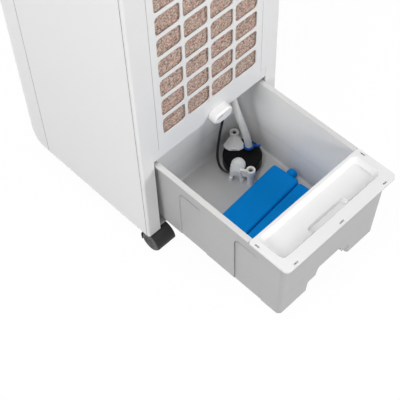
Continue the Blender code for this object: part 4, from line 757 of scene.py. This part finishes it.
METAL = (("Metallic", 1.0),)
FINISHES: dict[str, Finish] = {
    "white_moulding": moulded("white moulding", grey(0.735), 0.42, 0.03, 4e-5),
    # The tank's paler inside colour is painted light on the same plastic.
    "tank_plastic": coloured(
        "pale tank plastic", Pattern.WETTED, grey(0.42), 0.44, 4e-5, Inner=(0.75, 0.745, 0.73)
    ),
    "grey_moulding": moulded("grey moulding", grey(0.42), 0.52, 0.05, 4e-5),
    "light_moulding": moulded("light grey moulding", (0.88, 0.88, 0.87), 0.46, 0.05, 4e-5),
    "dark_moulding": moulded("dark moulding", (0.115, 0.115, 0.118), 0.50, 0.20, 5e-5, Dust=0.05),
    "black_moulding": moulded("black moulding", grey(0.003), 0.46, 0.25, 4e-5, 0.15, Dust=0.002),
    "caster_hood": moulded("caster hood moulding", grey(0.022), 0.50, 0.20, 5e-5, 0.3, Dust=0.01),
    "caster_wheel": moulded("caster wheel moulding", (0.045, 0.045, 0.046), 0.50, 0.20, 5e-5, Dust=0.02),
    "motor_steel": coloured("dark painted steel", Pattern.BRUSHED, (0.10, 0.10, 0.11), 0.45, 2e-5),
    "pack_blue": moulded("blue pack plastic", (0.0, 0.235, 0.69), 0.40, 0.10, 5e-5, 0.06, Dust=0.0),
    "clip_blue": moulded("blue clip plastic", (0.01, 0.10, 0.42), 0.38, 0.10, 3e-5, 0.2, Dust=0.0),
    "pad_fibre": Finish("pad fibre", Pattern.FIBRE, (("Colour", grey(1.0)),), 6e-4),
    "lens_dark": moulded("smoked lens", (0.02, 0.025, 0.03), 0.10, 0.10, 0.0, Dust=0.03),
    # The screws' dark colour is painted shade, standing in for the shade in their holes.
    "screw_in_painted_shade": coloured("screw steel in painted shade", Pattern.BRUSHED, (0.045, 0.045, 0.047), 0.34, 1e-5),
    "zinc_steel": coloured("zinc plate", Pattern.BRUSHED, (0.62, 0.63, 0.65), 0.30, 1e-5, METAL),
    "board_green": moulded("circuit board", (0.03, 0.16, 0.07), 0.42, 0.30, 3e-5, Fleck=0.5, Grain=420.0),
    "hose_rubber": coloured("pale hose rubber", Pattern.JACKET, (0.62, 0.62, 0.60), 0.42, 6e-5),
    "cable_rubber": coloured("black cable rubber", Pattern.JACKET, grey(0.005), 0.44, 4e-5),
}


# The frame's own solids, finished


SHARP_ANGLE = math.radians(33)  # edges that turn more than this are rounded
FLAT_ANGLE = math.radians(0.4)  # faces that turn less than this become one
MERGE_DISTANCE = 2e-5
SEAM_WIDTH = 0.0012


class Edge(Enum):
    """How far a finished copy's sharp edges are rounded, in metres, and in how many steps."""

    BROAD = (0.0012, 3)
    SOFT = (0.0007, 3)
    FINE = (0.0004, 2)
    KEPT = (0.0, 0)

    @property
    def width(self) -> float:
        """How far the edges are rounded."""
        return self.value[0]

    @property
    def steps(self) -> int:
        """Faces across the rounding."""
        return self.value[1]


class Dresser:
    """Gives CAD nodes and new pieces their bodies, record slots and finishes."""

    def __init__(self, frame: dict) -> None:
        """Keeps the frame's nodes and reads slots and bodies from its record.
        """
        record = frame["record"]
        self.nodes: dict[str, bpy.types.Object] = frame["nodes"]
        self.slots = {part["node"]: part["material_slot"] for part in record["subparts"]}
        bodies = record["behaviour"]["bodies"]
        self.bodies = {node: body for body, members in bodies.items() for node in members}

    def wear(self, obj: bpy.types.Object, finish: str) -> None:
        """Replaces an object's materials by a finish, which has a record slot's name or one of its own."""
        obj.data.materials.clear()
        obj.data.materials.append(FINISHES[finish].material())

    def stand_for(self, piece: bpy.types.Object, node: str) -> bpy.types.Object:
        """Lets a new piece ride on a node's body, wear its finish and be shown in its place.

        Args:
            piece: The new object.
            node: The CAD node that it replaces.

        Returns:
            The piece.
        """
        self.wear(piece, self.slots[node])
        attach(piece, self.bodies[node])
        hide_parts(node)
        LOG.info("%s stands for %s on %s", piece.name, node, self.bodies[node])
        return piece

    def finish_all(self, nodes: Iterable[str], edge: Edge) -> None:
        """Finishes several nodes with the same edges."""
        for node in nodes:
            self.finished(node, edge)

    def finished(self, node: str, edge: Edge) -> bpy.types.Object:
        """A copy of a node with merged corners, whole faces and rounded edges, shown in its place.

        Args:
            node: The CAD node.
            edge: How far its edges are rounded.

        Returns:
            The new piece.
        """
        work = bmesh.new()
        work.from_mesh(self.nodes[node].data)
        bmesh.ops.remove_doubles(work, verts=work.verts, dist=MERGE_DISTANCE)
        bmesh.ops.dissolve_limit(
            work, angle_limit=FLAT_ANGLE, use_dissolve_boundaries=False, verts=work.verts, edges=work.edges
        )
        self.weigh_edges(work, edge.width)
        self.mark_seams(work)
        mesh = bpy.data.meshes.new(f"{node}_finished")
        work.to_mesh(mesh)
        work.free()
        mesh.shade_smooth()
        mesh.set_sharp_from_angle(angle=SHARP_ANGLE)
        piece = add_object(f"{node}_finished", mesh)
        if edge.steps:
            bevel = piece.modifiers.new("edges", "BEVEL")
            bevel.width = edge.width
            bevel.segments = edge.steps
            bevel.limit_method = "WEIGHT"
            bevel.use_clamp_overlap = True
        shading = piece.modifiers.new("shading", "WEIGHTED_NORMAL")
        shading.keep_sharp = True
        return self.stand_for(piece, node)

    def weigh_edges(self, work: bmesh.types.BMesh, width: float) -> None:
        """Gives a bevel weight of one to each sharp edge that has room for its rounding.

        An edge beside a groove or step that reaches less than twice the rounding away from it stays sharp,
        so that thin seams stay crisp.

        Args:
            work: The mesh.
            width: The piece's rounding.
        """
        layer = work.edges.layers.float.new("bevel_weight_edge")
        for line in work.edges:
            if len(line.link_faces) == 2 and line.calc_face_angle(0.0) > SHARP_ANGLE:
                line[layer] = float(min(self.reach(face, line) for face in line.link_faces) > 2 * width)

    def mark_seams(self, work: bmesh.types.BMesh) -> None:
        """Writes a face attribute of painted shade: one on the walls and floors of narrow grooves.

        Such a face has a sharp inner edge, and reaches less than SEAM_WIDTH away from it.

        Args:
            work: The mesh.
        """
        # painted shade for the walls and floors of narrow grooves
        layer = work.faces.layers.float.new("seam")
        for line in work.edges:
            if len(line.link_faces) == 2 and line.calc_face_angle_signed(0.0) < -SHARP_ANGLE:
                for face in line.link_faces:
                    if self.reach(face, line) < SEAM_WIDTH:
                        face[layer] = 1.0

    @staticmethod
    def reach(face: bmesh.types.BMFace, line: bmesh.types.BMEdge) -> float:
        """How far a face's corners lie from the line through one of its edges, at most.

        Args:
            face: The face.
            line: One of its edges.

        Returns:
            The distance.
        """
        start, end = (np.array(v.co) for v in line.verts)
        along = unit(end - start)
        offset = np.array([v.co for v in face.verts]) - start
        return float(np.linalg.norm(offset - (offset @ along)[:, None] * along, axis=1).max())


# Sub-assemblies


@dataclass
class Cabinet:
    """The body's shells, top, base, deck and cord gland."""

    shells: tuple[tuple[str, int], ...] = (("rear_housing", -1), ("front_shell", 1))
    plain: tuple[str, ...] = ("base_pan", "tank_rail_left", "tank_rail_right", "mid_deck", "cord_gland")
    joint_facing: float = 0.9

    def build(self, dresser: Dresser) -> None:
        """Finishes the shells and the top with soft edges and the inner pieces with fine ones.

        Args:
            dresser: For slots and finishes.
        """
        for node, side in self.shells:
            self.shade_joint(dresser.finished(node, Edge.SOFT), side)
        dresser.finished("top_cover", Edge.SOFT)
        dresser.finish_all(self.plain, Edge.FINE)

    def shade_joint(self, shell: bpy.types.Object, side: int) -> None:
        """Gives the faces of a shell that look at the other shell, across their joint, painted shade.

        Args:
            shell: The finished shell.
            side: 1 where they look to the rear, -1 where they look to the front.
        """
        seam = np.empty(len(shell.data.polygons), np.float32)
        layer = shell.data.attributes["seam"].data
        layer.foreach_get("value", seam)
        # painted shade on the faces that look across the joint
        facing = side * mesh_values(shell.data.polygons, "normal")[:, 1] > self.joint_facing
        layer.foreach_set("value", np.where(facing, 1.0, seam).astype(np.float32))


@dataclass
class IntakeSide:
    """The grille with its latch, the fibre pad behind it, the trough and the riser."""

    pad_low: Triple = (-0.106, -0.0421, 0.2506)
    pad_high: Triple = (0.106, -0.0023, 0.7421)
    step: float = 0.0024
    rim_steps: int = 4
    relief: float = 0.0022
    least_dent: float = 0.25
    coarse_cell: float = 0.011
    fine_cell: float = 0.0037
    fine_share: float = 0.55
    seeds: tuple[int, int] = (3, 5)

    def build(self, dresser: Dresser) -> None:
        """Finishes the plastic pieces and makes the pad.

        Args:
            dresser: For slots and finishes.
        """
        dresser.finished("intake_grille", Edge.SOFT)
        dresser.finished("latch_knob", Edge.BROAD)
        dresser.finished("water_trough", Edge.FINE)
        dresser.finished("water_riser", Edge.KEPT)
        pad = dresser.stand_for(self.pad(), "cooling_pad")

    def dents(self, x: Array, z: Array, rim: Array) -> Array:
        """How deep the pad's large faces are dented.

        The depth is relief * (least + (1 - least) * noise), where the noise is a weighted sum of a coarse and
        a fine lattice noise, and fades out at the rim.

        Args:
            x: Across the pad.
            z: Up the pad.
            rim: Distance of each point from the nearest side.

        Returns:
            An array of the coordinates' shape.
        """
        fade = np.clip(rim / (self.rim_steps * self.step), 0.0, 1.0)
        coarse = lattice_noise(x + 1, z + 1, self.coarse_cell, self.seeds[0])
        fine = lattice_noise(x + 2, z + 2, self.fine_cell, self.seeds[1])
        noise = (1 - self.fine_share) * coarse + self.fine_share * fine
        return self.relief * (self.least_dent + (1 - self.least_dent) * fade * noise)

    def pad(self) -> bpy.types.Object:
        """The pad: a block whose two large faces are heights y = face - dent on a grid.

        A ring of quads round the rim joins one face to the other.

        Returns:
            The new object.
        """
        low, high = body_point(*self.pad_low), body_point(*self.pad_high)
        across = np.linspace(low[0], high[0], int((high[0] - low[0]) / self.step))
        up = np.linspace(low[2], high[2], int((high[2] - low[2]) / self.step))
        x, z = np.meshgrid(across, up)
        dent = self.dents(x, z, np.minimum.reduce([x - low[0], high[0] - x, z - low[2], high[2] - z]))
        front = np.stack([x, high[1] - dent, z], -1)
        back = np.stack([x, low[1] + dent, z], -1)
        rows, columns = x.shape
        points = np.concatenate([front.reshape(-1, 3), back.reshape(-1, 3)])
        number, half = np.arange(rows * columns).reshape(rows, columns), rows * columns
        corner = number[:-1, :-1].ravel()
        quad = np.stack([corner, corner + 1, corner + columns + 1, corner + columns], -1)
        loop = np.concatenate([number[0, :-1], number[:-1, -1], number[-1, :0:-1], number[:0:-1, 0]])
        after = np.roll(loop, -1)
        side = np.stack([loop, after, after + half, loop + half], -1)
        faces = np.concatenate([quad, quad[:, ::-1] + half, side]).tolist()
        return mesh_object("fibre_pad", points, faces)


@dataclass
class OutletSide:
    """The blower and the outlet with its louvres, vanes and links."""

    louvres: int = 5
    vanes: int = 4
    inner: tuple[str, ...] = ("blower_scroll", "blower_wheel", "blower_motor", "swing_motor")
    links: tuple[str, ...] = ("louvre_link", "vane_link")

    def build(self, dresser: Dresser) -> None:
        """Finishes each piece; blades keep their own thin edges.

        Args:
            dresser: For slots and finishes.
        """
        dresser.finished("outlet_frame", Edge.SOFT)
        dresser.finish_all(self.inner, Edge.KEPT)
        dresser.finish_all(self.links, Edge.FINE)
        dresser.finish_all(numbered("louvre", self.louvres), Edge.KEPT)
        dresser.finish_all(numbered("vane", self.vanes), Edge.KEPT)


@dataclass
class Controls:
    """The panel on the top, its buttons, lens and board."""

    buttons: int = 5

    def build(self, dresser: Dresser) -> None:
        """Finishes each piece.

        Args:
            dresser: For slots and finishes.
        """
        dresser.finish_all(("control_panel", "display_lens"), Edge.FINE)
        dresser.finished("control_board", Edge.KEPT)
        dresser.finish_all(numbered("button", self.buttons), Edge.FINE)


@dataclass
class WaterTank:
    """The tank, its lid and the two ice packs.

    The pack's panel is given as insets and depths, the cap's profile as shares of its radius. Places and
    turns of the packs are in the body's frame, in metres and degrees.
    """

    pack_size: Triple = (0.172, 0.055, 0.030)
    pack_corner: float = 0.006
    least_corner: float = 0.0008
    pack_edge: float = 0.005
    edge_rows: int = 7
    wall_rows: int = 9
    wall_span: tuple[float, float] = (0.1, 0.9)
    pack_waist: float = 0.0005
    pack_panel: tuple[tuple[float, float], ...] = (
        (0.0075, 0.0000),
        (0.0085, 0.0002),
        (0.0100, 0.0006),
        (0.0115, 0.0007),
    )
    pack_sides: int = 96
    pack_turn: float = 4.0
    packs: tuple[tuple[str, float, float], ...] = (
        ("ice_pack_rear", 0.000, 0.0965),
        ("ice_pack_front", -0.001, 0.1528),
    )
    cap_radius: float = 0.009
    cap_length: float = 0.015
    cap_offset: float = 0.003
    cap_shares: tuple[float, ...] = (0.35, 0.80, 0.80, 0.98, 0.98, 0.72, 0.68, 0.20)
    cap_seat: float = 0.002
    cap_dish: float = 0.0007
    cap_round: float = 0.0012
    cap_ribs: int = 28
    rib_sides: int = 6
    rib_height: float = 0.00016
    rib_margins: tuple[float, float] = (0.0035, 0.0015)
    pockets: tuple[tuple[float, float], ...] = ((0.072, 0.134), (0.192, 0.254))
    pocket_top: float = 0.1786
    arch_radius: float = 0.012
    slope_height: float = 0.0055
    pocket_depth: float = 0.003
    pocket_shade: float = 0.45
    shaded_depths: tuple[float, float] = (0.2, 0.8)
    wall_turn: float = 0.985
    wall_x: float = 0.11634
    wall_draft: float = 0.0249
    wall_slack: float = 0.0008
    inward_least: float = 1e-4
    rim_depth: float = 0.004
    rim_rise: float = 0.6
    # Shares of the painted light inside on the rim and on the floor
    rim_painted_light: float = 0.55
    floor_painted_light: float = 0.3

    def build(self, dresser: Dresser) -> None:
        """Finishes the mouldings and makes the packs.

        Args:
            dresser: For slots and finishes.
        """
        tank = dresser.finished("tank", Edge.SOFT)
        self.slope_pockets(tank)
        self.mark_inside_and_painted_light(tank)
        dresser.finished("tank_lid", Edge.SOFT)
        for name, x, y in self.packs:
            dresser.stand_for(self.pack(name, x, y), name)
            cap = self.cap(name, x, y)
            dresser.wear(cap, "pack_blue")
            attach(cap, dresser.bodies[name])
            LOG.info("%s rides on %s", cap.name, dresser.bodies[name])

    def slope_pockets(self, tank: bpy.types.Object) -> None:
        """Slopes the arched tops of the side pockets and gives the pockets' walls painted shade.

        The outer outlines lie in the wall x = wall_x + draft * (z - pocket_top), the inner ones a pocket's
        depth further in. Outer corners are lifted and inner ones lowered by slope_height * smoothstep(t),
        where t runs from 0 at the arch's springing to 1 at its top.

        Args:
            tank: The finished tank.
        """
        points = mesh_values(tank.data.vertices, "co")
        inset, near = self.wall_inset(points), self.near_pocket(points)
        outer = near & (np.abs(inset) < self.wall_slack)
        inner = near & (np.abs(inset - self.pocket_depth) < self.wall_slack)
        t = np.clip(1 + (points[:, 2] - self.pocket_top) / self.arch_radius, 0.0, 1.0)
        lift = self.slope_height * smoothstep(t) * (outer * 1.0 - inner * 1.0)
        points[:, 2] += lift
        points[:, 0] += np.sign(points[:, 0]) * self.wall_draft * lift
        tank.data.vertices.foreach_set("co", points.ravel())
        tank.data.update()
        centre, normal = (mesh_values(tank.data.polygons, name) for name in ("center", "normal"))
        depth = self.wall_inset(centre) / self.pocket_depth
        least, most = self.shaded_depths
        between = (depth > least) & (depth < most)
        walls = between & (np.abs(normal[:, 0]) < self.wall_turn) & self.near_pocket(centre)
        # painted shade on the pockets' walls
        seam = np.where(walls, self.pocket_shade, 0.0).astype(np.float32)
        tank.data.attributes["seam"].data.foreach_set("value", seam)
        LOG.info("%d corners and %d walls of the pockets shaped", int((lift != 0).sum()), int(walls.sum()))

    def wall_inset(self, points: Array) -> Array:
        """How far points lie inside the tank's outer side wall."""
        return self.wall_x + self.wall_draft * (points[:, 2] - self.pocket_top) - np.abs(points[:, 0])

    def near_pocket(self, points: Array) -> Array:
        """Which points lie beside a pocket, below its top."""
        beside = np.any([(points[:, 1] > low) & (points[:, 1] < high) for low, high in self.pockets], axis=0)
        return beside & (points[:, 2] < self.pocket_top + self.wall_slack)

    def mark_inside_and_painted_light(self, tank: bpy.types.Object) -> None:
        """Writes an attribute of painted light inside: one on walls that look at the tank's middle, and less
        on what looks up.

        A face is inside where its normal and its offset from the middle, both seen from above, point
        against each other. The painted light falls towards the floor's level with the square of the normal's
        rise, and the rim has a level of its own.

        Args:
            tank: The finished tank.
        """
        normal, centre = (mesh_values(tank.data.polygons, name) for name in ("normal", "center"))
        low, high = (np.array(limit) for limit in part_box("tank"))
        offset = (centre - (low + high) / 2)[:, :2]
        inward = (normal[:, :2] * offset).sum(axis=1) < -self.inward_least
        sunk = centre[:, 2] < high[2] - self.rim_depth
        upward = normal[:, 2] > self.rim_rise
        # painted light: walls take the paler inside colour in full, the floor and the rim less of it
        level = 1 - (1 - self.floor_painted_light) * np.clip(normal[:, 2], 0.0, 1.0) ** 2
        inside = np.where(sunk, (inward | upward) * level, upward * self.rim_painted_light).astype(np.float32)
        tank.data.attributes.new("inside", "FLOAT", "FACE").data.foreach_set("value", inside)

    def turned(self, points: Array, x: float, y: float) -> Array:
        """Points of a pack drawn about its own middle, turned and moved to its place.

        Args:
            points: Rows x columns x 3 points.
            x: Middle of the pack, in the body's frame.
            y: Middle of the pack, in the body's frame.

        Returns:
            The moved points.
        """
        angle = math.radians(self.pack_turn)
        cosine, sine = math.cos(angle), math.sin(angle)
        turn = np.array([[cosine, sine, 0], [-sine, cosine, 0], [0, 0, 1]])
        return points @ turn + body_point(x, y, Z_WELL + CLEARANCE)

    def pack(self, name: str, x: float, y: float) -> bpy.types.Object:
        """A blow-moulded pack: a rounded rectangle carried up a profile of insets and heights.

        The profile is a quarter circle at the bottom and at the top, between them a wall that is drawn in by
        a sine, and on the top a shallow sunk panel.

        Args:
            name: Of the CAD node.
            x: Middle of the pack, in the body's frame.
            y: Middle of the pack, in the body's frame.

        Returns:
            The new object.
        """
        half = np.array(self.pack_size[:2]) / 2
        edge, height = self.pack_edge, self.pack_size[2]
        quarter = np.linspace(0.0, np.pi / 2, self.edge_rows)
        bottom = np.stack([edge * (1 - np.sin(quarter)), edge * (1 - np.cos(quarter))], -1)
        wall = np.linspace(*self.wall_span, self.wall_rows)
        side = np.stack([self.pack_waist * np.sin(np.pi * wall), edge + (height - 2 * edge) * wall], -1)
        top, panel = (part * (1, -1) + (0, height) for part in (bottom[::-1], np.array(self.pack_panel)))
        profile = np.concatenate([bottom, side, top, panel])
        turn = ring_angles(self.pack_sides) + np.pi / self.pack_sides
        direction = np.stack([np.cos(turn), np.sin(turn)], -1)
        inset = profile[:, 0][:, None, None]
        corner = np.maximum(self.pack_corner - inset, self.least_corner)
        points = np.empty((len(profile), len(turn), 3))
        points[..., :2] = np.sign(direction) * (half - inset - corner) + corner * direction
        points[..., 2] = profile[:, 1:2]
        return surface(f"{name}_body", self.turned(points, x, y))

    def cap(self, name: str, x: float, y: float) -> bpy.types.Object:
        """A pack's ribbed screw cap: a rounded profile turned about the pack's length, with a cosine ripple.

        Args:
            name: Of the CAD node.
            x: Middle of the pack, in the body's frame.
            y: Middle of the pack, in the body's frame.

        Returns:
            The new object.
        """
        end, seat, length = -self.pack_size[0] / 2, self.cap_seat, self.cap_length
        sunk = length - self.cap_dish
        places = (-seat, -seat, seat, seat, length, length, sunk, sunk)
        corners = np.column_stack([np.array(self.cap_shares) * self.cap_radius, places])
        radius, place = round_profile(corners, self.cap_round).T
        ribbed = ((place > self.rib_margins[0]) & (place < length - self.rib_margins[1])).astype(float)
        profile = np.column_stack([radius, -place, self.rib_height * ribbed])
        sides = self.rib_sides * self.cap_ribs
        ripple = np.cos(self.cap_ribs * ring_angles(sides))
        centre = np.array((end, self.cap_offset, self.pack_size[2] / 2))
        points = turned_points(profile, centre, 0, sides, ripple)
        return surface(f"{name}_cap", self.turned(points, x, y))


@dataclass
class PumpGroup:
    """The pump with its lug, inlet cover and screws, and the hose, clip and cable that lead up from it."""

    spigot: Triple = (-0.0754, 0.0113, 0.0946)
    hose_top: Triple = (-0.066, -0.021, Z_PANEL - 0.009)
    hose_radius: float = 0.0063
    hose_steps: int = 40
    hose_sides: int = 40
    cable_radius: float = 0.0022
    cable_steps: int = 8
    cable_sides: int = 20
    cable_top: tuple[float, float] = (-0.048, -0.0165)
    cable_route: tuple[Triple, ...] = (
        (-0.0435, -0.0167, -0.0447),
        (-0.0334, -0.0158, -0.0844),
        (-0.0231, -0.0116, -0.1188),
        (-0.0184, -0.0049, -0.1381),
        (-0.0182, 0.0042, -0.1486),
        (-0.0227, 0.0158, -0.152),
    )
    deck_thickness: float = 0.003
    reference: Triple = (1.0, 0.0, 0.0)
    turn_shares: tuple[float, float] = (0.3, 0.7)
    rigid: tuple[str, ...] = ("pump_motor", "pump_cover")
    fine: tuple[str, ...] = ("pump_lug", "hose_clip")
    screws: tuple[str, ...] = ("pump_screw_rear", "pump_screw_front")

    def build_cords(self, dresser: Dresser) -> None:
        """Makes the hose and the cable, which curve from the cabinet down to the drawn-out tank.

        Args:
            dresser: For slots and finishes.
        """
        path = self.hose_path()
        points = tube_points(path, self.hose_radius, self.hose_sides, self.reference)
        hose = surface("hose_tube", points)
        self.lead(dresser, hose, "hose")
        path = self.cable_path()
        points = tube_points(path, self.cable_radius, self.cable_sides, self.reference)
        cable = surface("cable_jacket", points)
        self.lead(dresser, cable, "pump_cable")

    def lead(
        self,
        dresser: Dresser,
        piece: bpy.types.Object,
        node: str,
    ) -> None:
        """Dresses a cord in its node's finish, hides the node and fixes the cord in the frame.

        Args:
            dresser: For slots and finishes.
            piece: The cord's mesh.
            node: The CAD node that it replaces.
        """
        dresser.wear(piece, dresser.slots[node])
        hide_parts(node)
        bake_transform(piece)
        LOG.info("%s bends between cabinet and tank_drawer", piece.name)

    def hose_path(self) -> Array:
        """The hose's centreline: straight at both ends, between them half straight line and half smoothstep.

        Returns:
            Points from the top down.
        """
        bottom, top = body_point(*self.spigot), body_point(*self.hose_top)
        bottom[2] += CLEARANCE
        top[2] -= CLEARANCE
        rise = np.array((0.0, 0.0, self.hose_radius / 2))
        share = np.linspace(0.0, 1.0, self.hose_steps + 1)[:, None]
        across = (share + smoothstep(share)) / 2
        low, high = bottom + rise, top - rise
        line = low + (high - low) * across
        line[:, 2] = low[2] + (high[2] - low[2]) * share[:, 0]
        return np.vstack([bottom, line, top])[::-1]

    def cable_path(self) -> Array:
        """The cable's centreline: down through the deck, then a Catmull-Rom curve to the inlet cover's side.

        Returns:
            Points from the top down.
        """
        deck_top = Z_PANEL + CLEARANCE + self.deck_thickness
        first = body_point(*self.cable_top, deck_top + 2 * self.cable_radius)
        below = body_point(*self.cable_top, Z_PANEL - 2 * self.cable_radius)
        route = [body_point(x, y, Z_PANEL + z) for x, y, z in self.cable_route]
        return np.vstack([first, catmull_rom(np.array([below, *route]), self.cable_steps)])

    def build(self, dresser: Dresser) -> None:
        """Finishes the rigid pieces.

        Args:
            dresser: For slots and finishes.
        """
        dresser.finish_all(self.rigid, Edge.SOFT)
        dresser.finish_all(self.fine, Edge.FINE)
        for node in self.screws:
            # painted shade: the screws are darkened to stand for their dark holes
            dresser.wear(dresser.finished(node, Edge.SOFT), "screw_in_painted_shade")
        dresser.finished("pump_impeller", Edge.KEPT)


@dataclass
class CasterSet:
    """Four twin-wheel casters under their hoods."""

    corners: tuple[str, ...] = ("rear_left", "rear_right", "front_left", "front_right")
    radius: float = 0.0195
    half_width: float = 0.0195
    inside: float = 0.0030
    axle: float = 0.0030
    sides: int = 72
    rounding: float = 0.0009
    rounding_steps: int = 3

    def build(self, dresser: Dresser) -> None:
        """Finishes the hoods and makes the wheels.

        Args:
            dresser: For slots and finishes.
        """
        for corner in self.corners:
            dresser.wear(dresser.finished(f"caster_hood_{corner}", Edge.FINE), "caster_hood")
            node = f"caster_wheels_{corner}"
            low, high = (np.array(limit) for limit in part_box(node))
            dresser.wear(dresser.stand_for(self.wheels(corner, (low + high) / 2), node), "caster_wheel")

    def wheels(self, corner: str, centre: Array) -> bpy.types.Object:
        """Two wheels and their axle: one rounded profile, mirrored, turned about the axle.

        The profile's pairs are radius and place along the axle, from a wheel's dished outer face over its
        tread, which has a fine groove, to the axle.

        Args:
            corner: Which caster.
            centre: The middle of the axle.

        Returns:
            The new object.
        """
        r, w = self.radius, self.half_width
        half = np.array(
            [
                (0.05 * r, w - 0.0040),
                (0.20 * r, w - 0.0040),
                (0.24 * r, w - 0.0022),
                (0.58 * r, w - 0.0022),
                (0.66 * r, w),
                (r - 0.0018, w),
                (r, w - 0.0024),
                (r, 0.62 * w),
                (r - 0.0004, 0.60 * w),
                (r - 0.0004, 0.57 * w),
                (r, 0.55 * w),
                (r, self.inside + 0.0016),
                (r - 0.0016, self.inside),
                (self.axle, self.inside),
            ]
        )
        both = np.concatenate([half * (1, -1), half[::-1]])
        profile = round_profile(both, self.rounding, self.rounding_steps)
        return surface(f"caster_wheels_{corner}_turned", turned_points(profile, centre, 0, self.sides))


# Studio


@dataclass
class Studio:
    """Camera, soft lights, pale world and floor.

    Each lamp has a name, a place, the length of its side and its power in watts.
    """

    azimuth: float = 137.45
    elevation: float = 54.82
    roll: float = -2.448
    camera_place: Triple = (0.7052, 0.7673, 1.4461)
    focal_pixels: float = 1006.5
    frame_pixels: float = 400.0
    sensor: float = 36.0
    clip: tuple[float, float] = (0.05, 60.0)
    ambient: float = 0.12
    lamps: tuple[tuple[str, Triple, float, float], ...] = (
        ("side_lamp", (2.45, 0.15, 1.45), 1.0, 30.5),
        ("rear_lamp", (-1.35, 2.15, 1.40), 1.1, 36.0),
        ("corner_lamp", (1.60, 1.95, 0.95), 0.5, 11.0),
        ("low_rear_lamp", (0.00, 2.60, 0.90), 1.0, 8.0),
        ("far_top_lamp", (-2.00, 0.30, 2.30), 1.0, 13.0),
        ("top_lamp", (0.90, 0.45, 2.70), 1.0, 25.0),
        ("front_lamp", (0.75, -2.50, 1.30), 1.1, 28.0),
    )
    lamp_aim: Triple = (0.0, 0.1, 0.3)
    floor_size: float = 60.0
    floor_drop: float = 0.0002
    floor_colour: float = 0.50
    floor_seen: float = 0.92
    floor_glow: float = 0.96

    def build(self) -> None:
        """Sets up everything that isn't the object."""
        bpy.context.scene.view_settings.view_transform = "Standard"
        self.camera()
        self.world()
        for lamp in self.lamps:
            self.lamp(*lamp)
        self.floor()

    def camera(self) -> None:
        """The camera at the photograph's viewing angle, from its azimuth, elevation and roll."""
        a, e, r = (math.radians(v) for v in (self.azimuth, self.elevation, self.roll))
        back = np.array((math.sin(a) * math.cos(e), -math.cos(a) * math.cos(e), math.sin(e)))
        right = unit(np.cross(-back, UP))
        level = np.array((right, np.cross(right, -back)))
        rolled = np.array(((math.cos(r), math.sin(r)), (-math.sin(r), math.cos(r)))) @ level
        data = bpy.data.cameras.new("photo_camera")
        data.sensor_width = self.sensor
        data.lens = self.focal_pixels / self.frame_pixels * self.sensor
        data.clip_start, data.clip_end = self.clip
        camera = add_object("photo_camera", data)
        camera.matrix_world = aimed(*rolled, back, self.camera_place)
        bpy.context.scene.camera = camera

    def world(self) -> None:
        """White for camera, glossy and transmission rays, and a softer ambient for the rest."""
        world = bpy.data.worlds.new("pale studio")
        world.use_nodes = True
        shader = Shader(world.node_tree)
        background = world.node_tree.nodes["Background"]
        background.inputs["Color"].default_value = WHITE
        spread = shader.between(self.ambient, 1.0, shader.seen())
        world.node_tree.links.new(spread, background.inputs["Strength"])
        bpy.context.scene.world = world

    def lamp(self, name: str, place: Triple, size: float, power: float) -> None:
        """Adds a square area lamp that looks at the object.

        Args:
            name: Of the lamp.
            place: Its middle.
            size: Length of its side.
            power: In watts.
        """
        data = bpy.data.lights.new(name, "AREA")
        data.size = size
        data.energy = power
        back = unit(np.array(place) - np.array(self.lamp_aim))
        right = unit(np.cross(UP, back))
        add_object(name, data).matrix_world = aimed(right, np.cross(back, right), back, place)

    def floor(self) -> None:
        """A pale floor that glows for the camera and keeps a faint shadow."""
        half, low = self.floor_size / 2, -self.floor_drop
        mesh = bpy.data.meshes.new("floor")
        corners = [(-half, -half, low), (half, -half, low), (half, half, low), (-half, half, low)]
        mesh.from_pydata(corners, [], [[0, 1, 2, 3]])
        floor = add_object("floor", mesh)
        material = bpy.data.materials.new("pale floor")
        material.use_nodes = True
        shader, nodes = Shader(material.node_tree), material.node_tree.nodes
        nodes.remove(nodes["Principled BSDF"])
        seen = shader.seen()
        level = shader.between(self.floor_colour, self.floor_seen, seen)
        matt = shader.node("BsdfDiffuse", {"Color": shader.grey(level)}).outputs[0]
        glow = shader.node("Emission", {"Color": WHITE, "Strength": 1.0}).outputs[0]
        share = shader.math("MULTIPLY", seen, self.floor_glow)
        mixed = shader.node("MixShader", {0: share, 1: matt, 2: glow}).outputs[0]
        output = next(n for n in nodes if n.type == "OUTPUT_MATERIAL")
        material.node_tree.links.new(mixed, output.inputs["Surface"])
        mesh.materials.append(material)


def main() -> None:
    """Loads the frame, then dresses it, sub-assembly by sub-assembly."""
    logging.basicConfig(level=logging.INFO, format="%(name)s: %(message)s")
    for obj in list(bpy.data.objects):
        bpy.data.objects.remove(obj)
    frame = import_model()
    dresser = Dresser(frame)
    Studio().build()
    pump = PumpGroup()
    pump.build_cords(dresser)
    Cabinet().build(dresser)
    IntakeSide().build(dresser)
    OutletSide().build(dresser)
    Controls().build(dresser)
    WaterTank().build(dresser)
    pump.build(dresser)
    CasterSet().build(dresser)


if __name__ == "__main__":
    main()
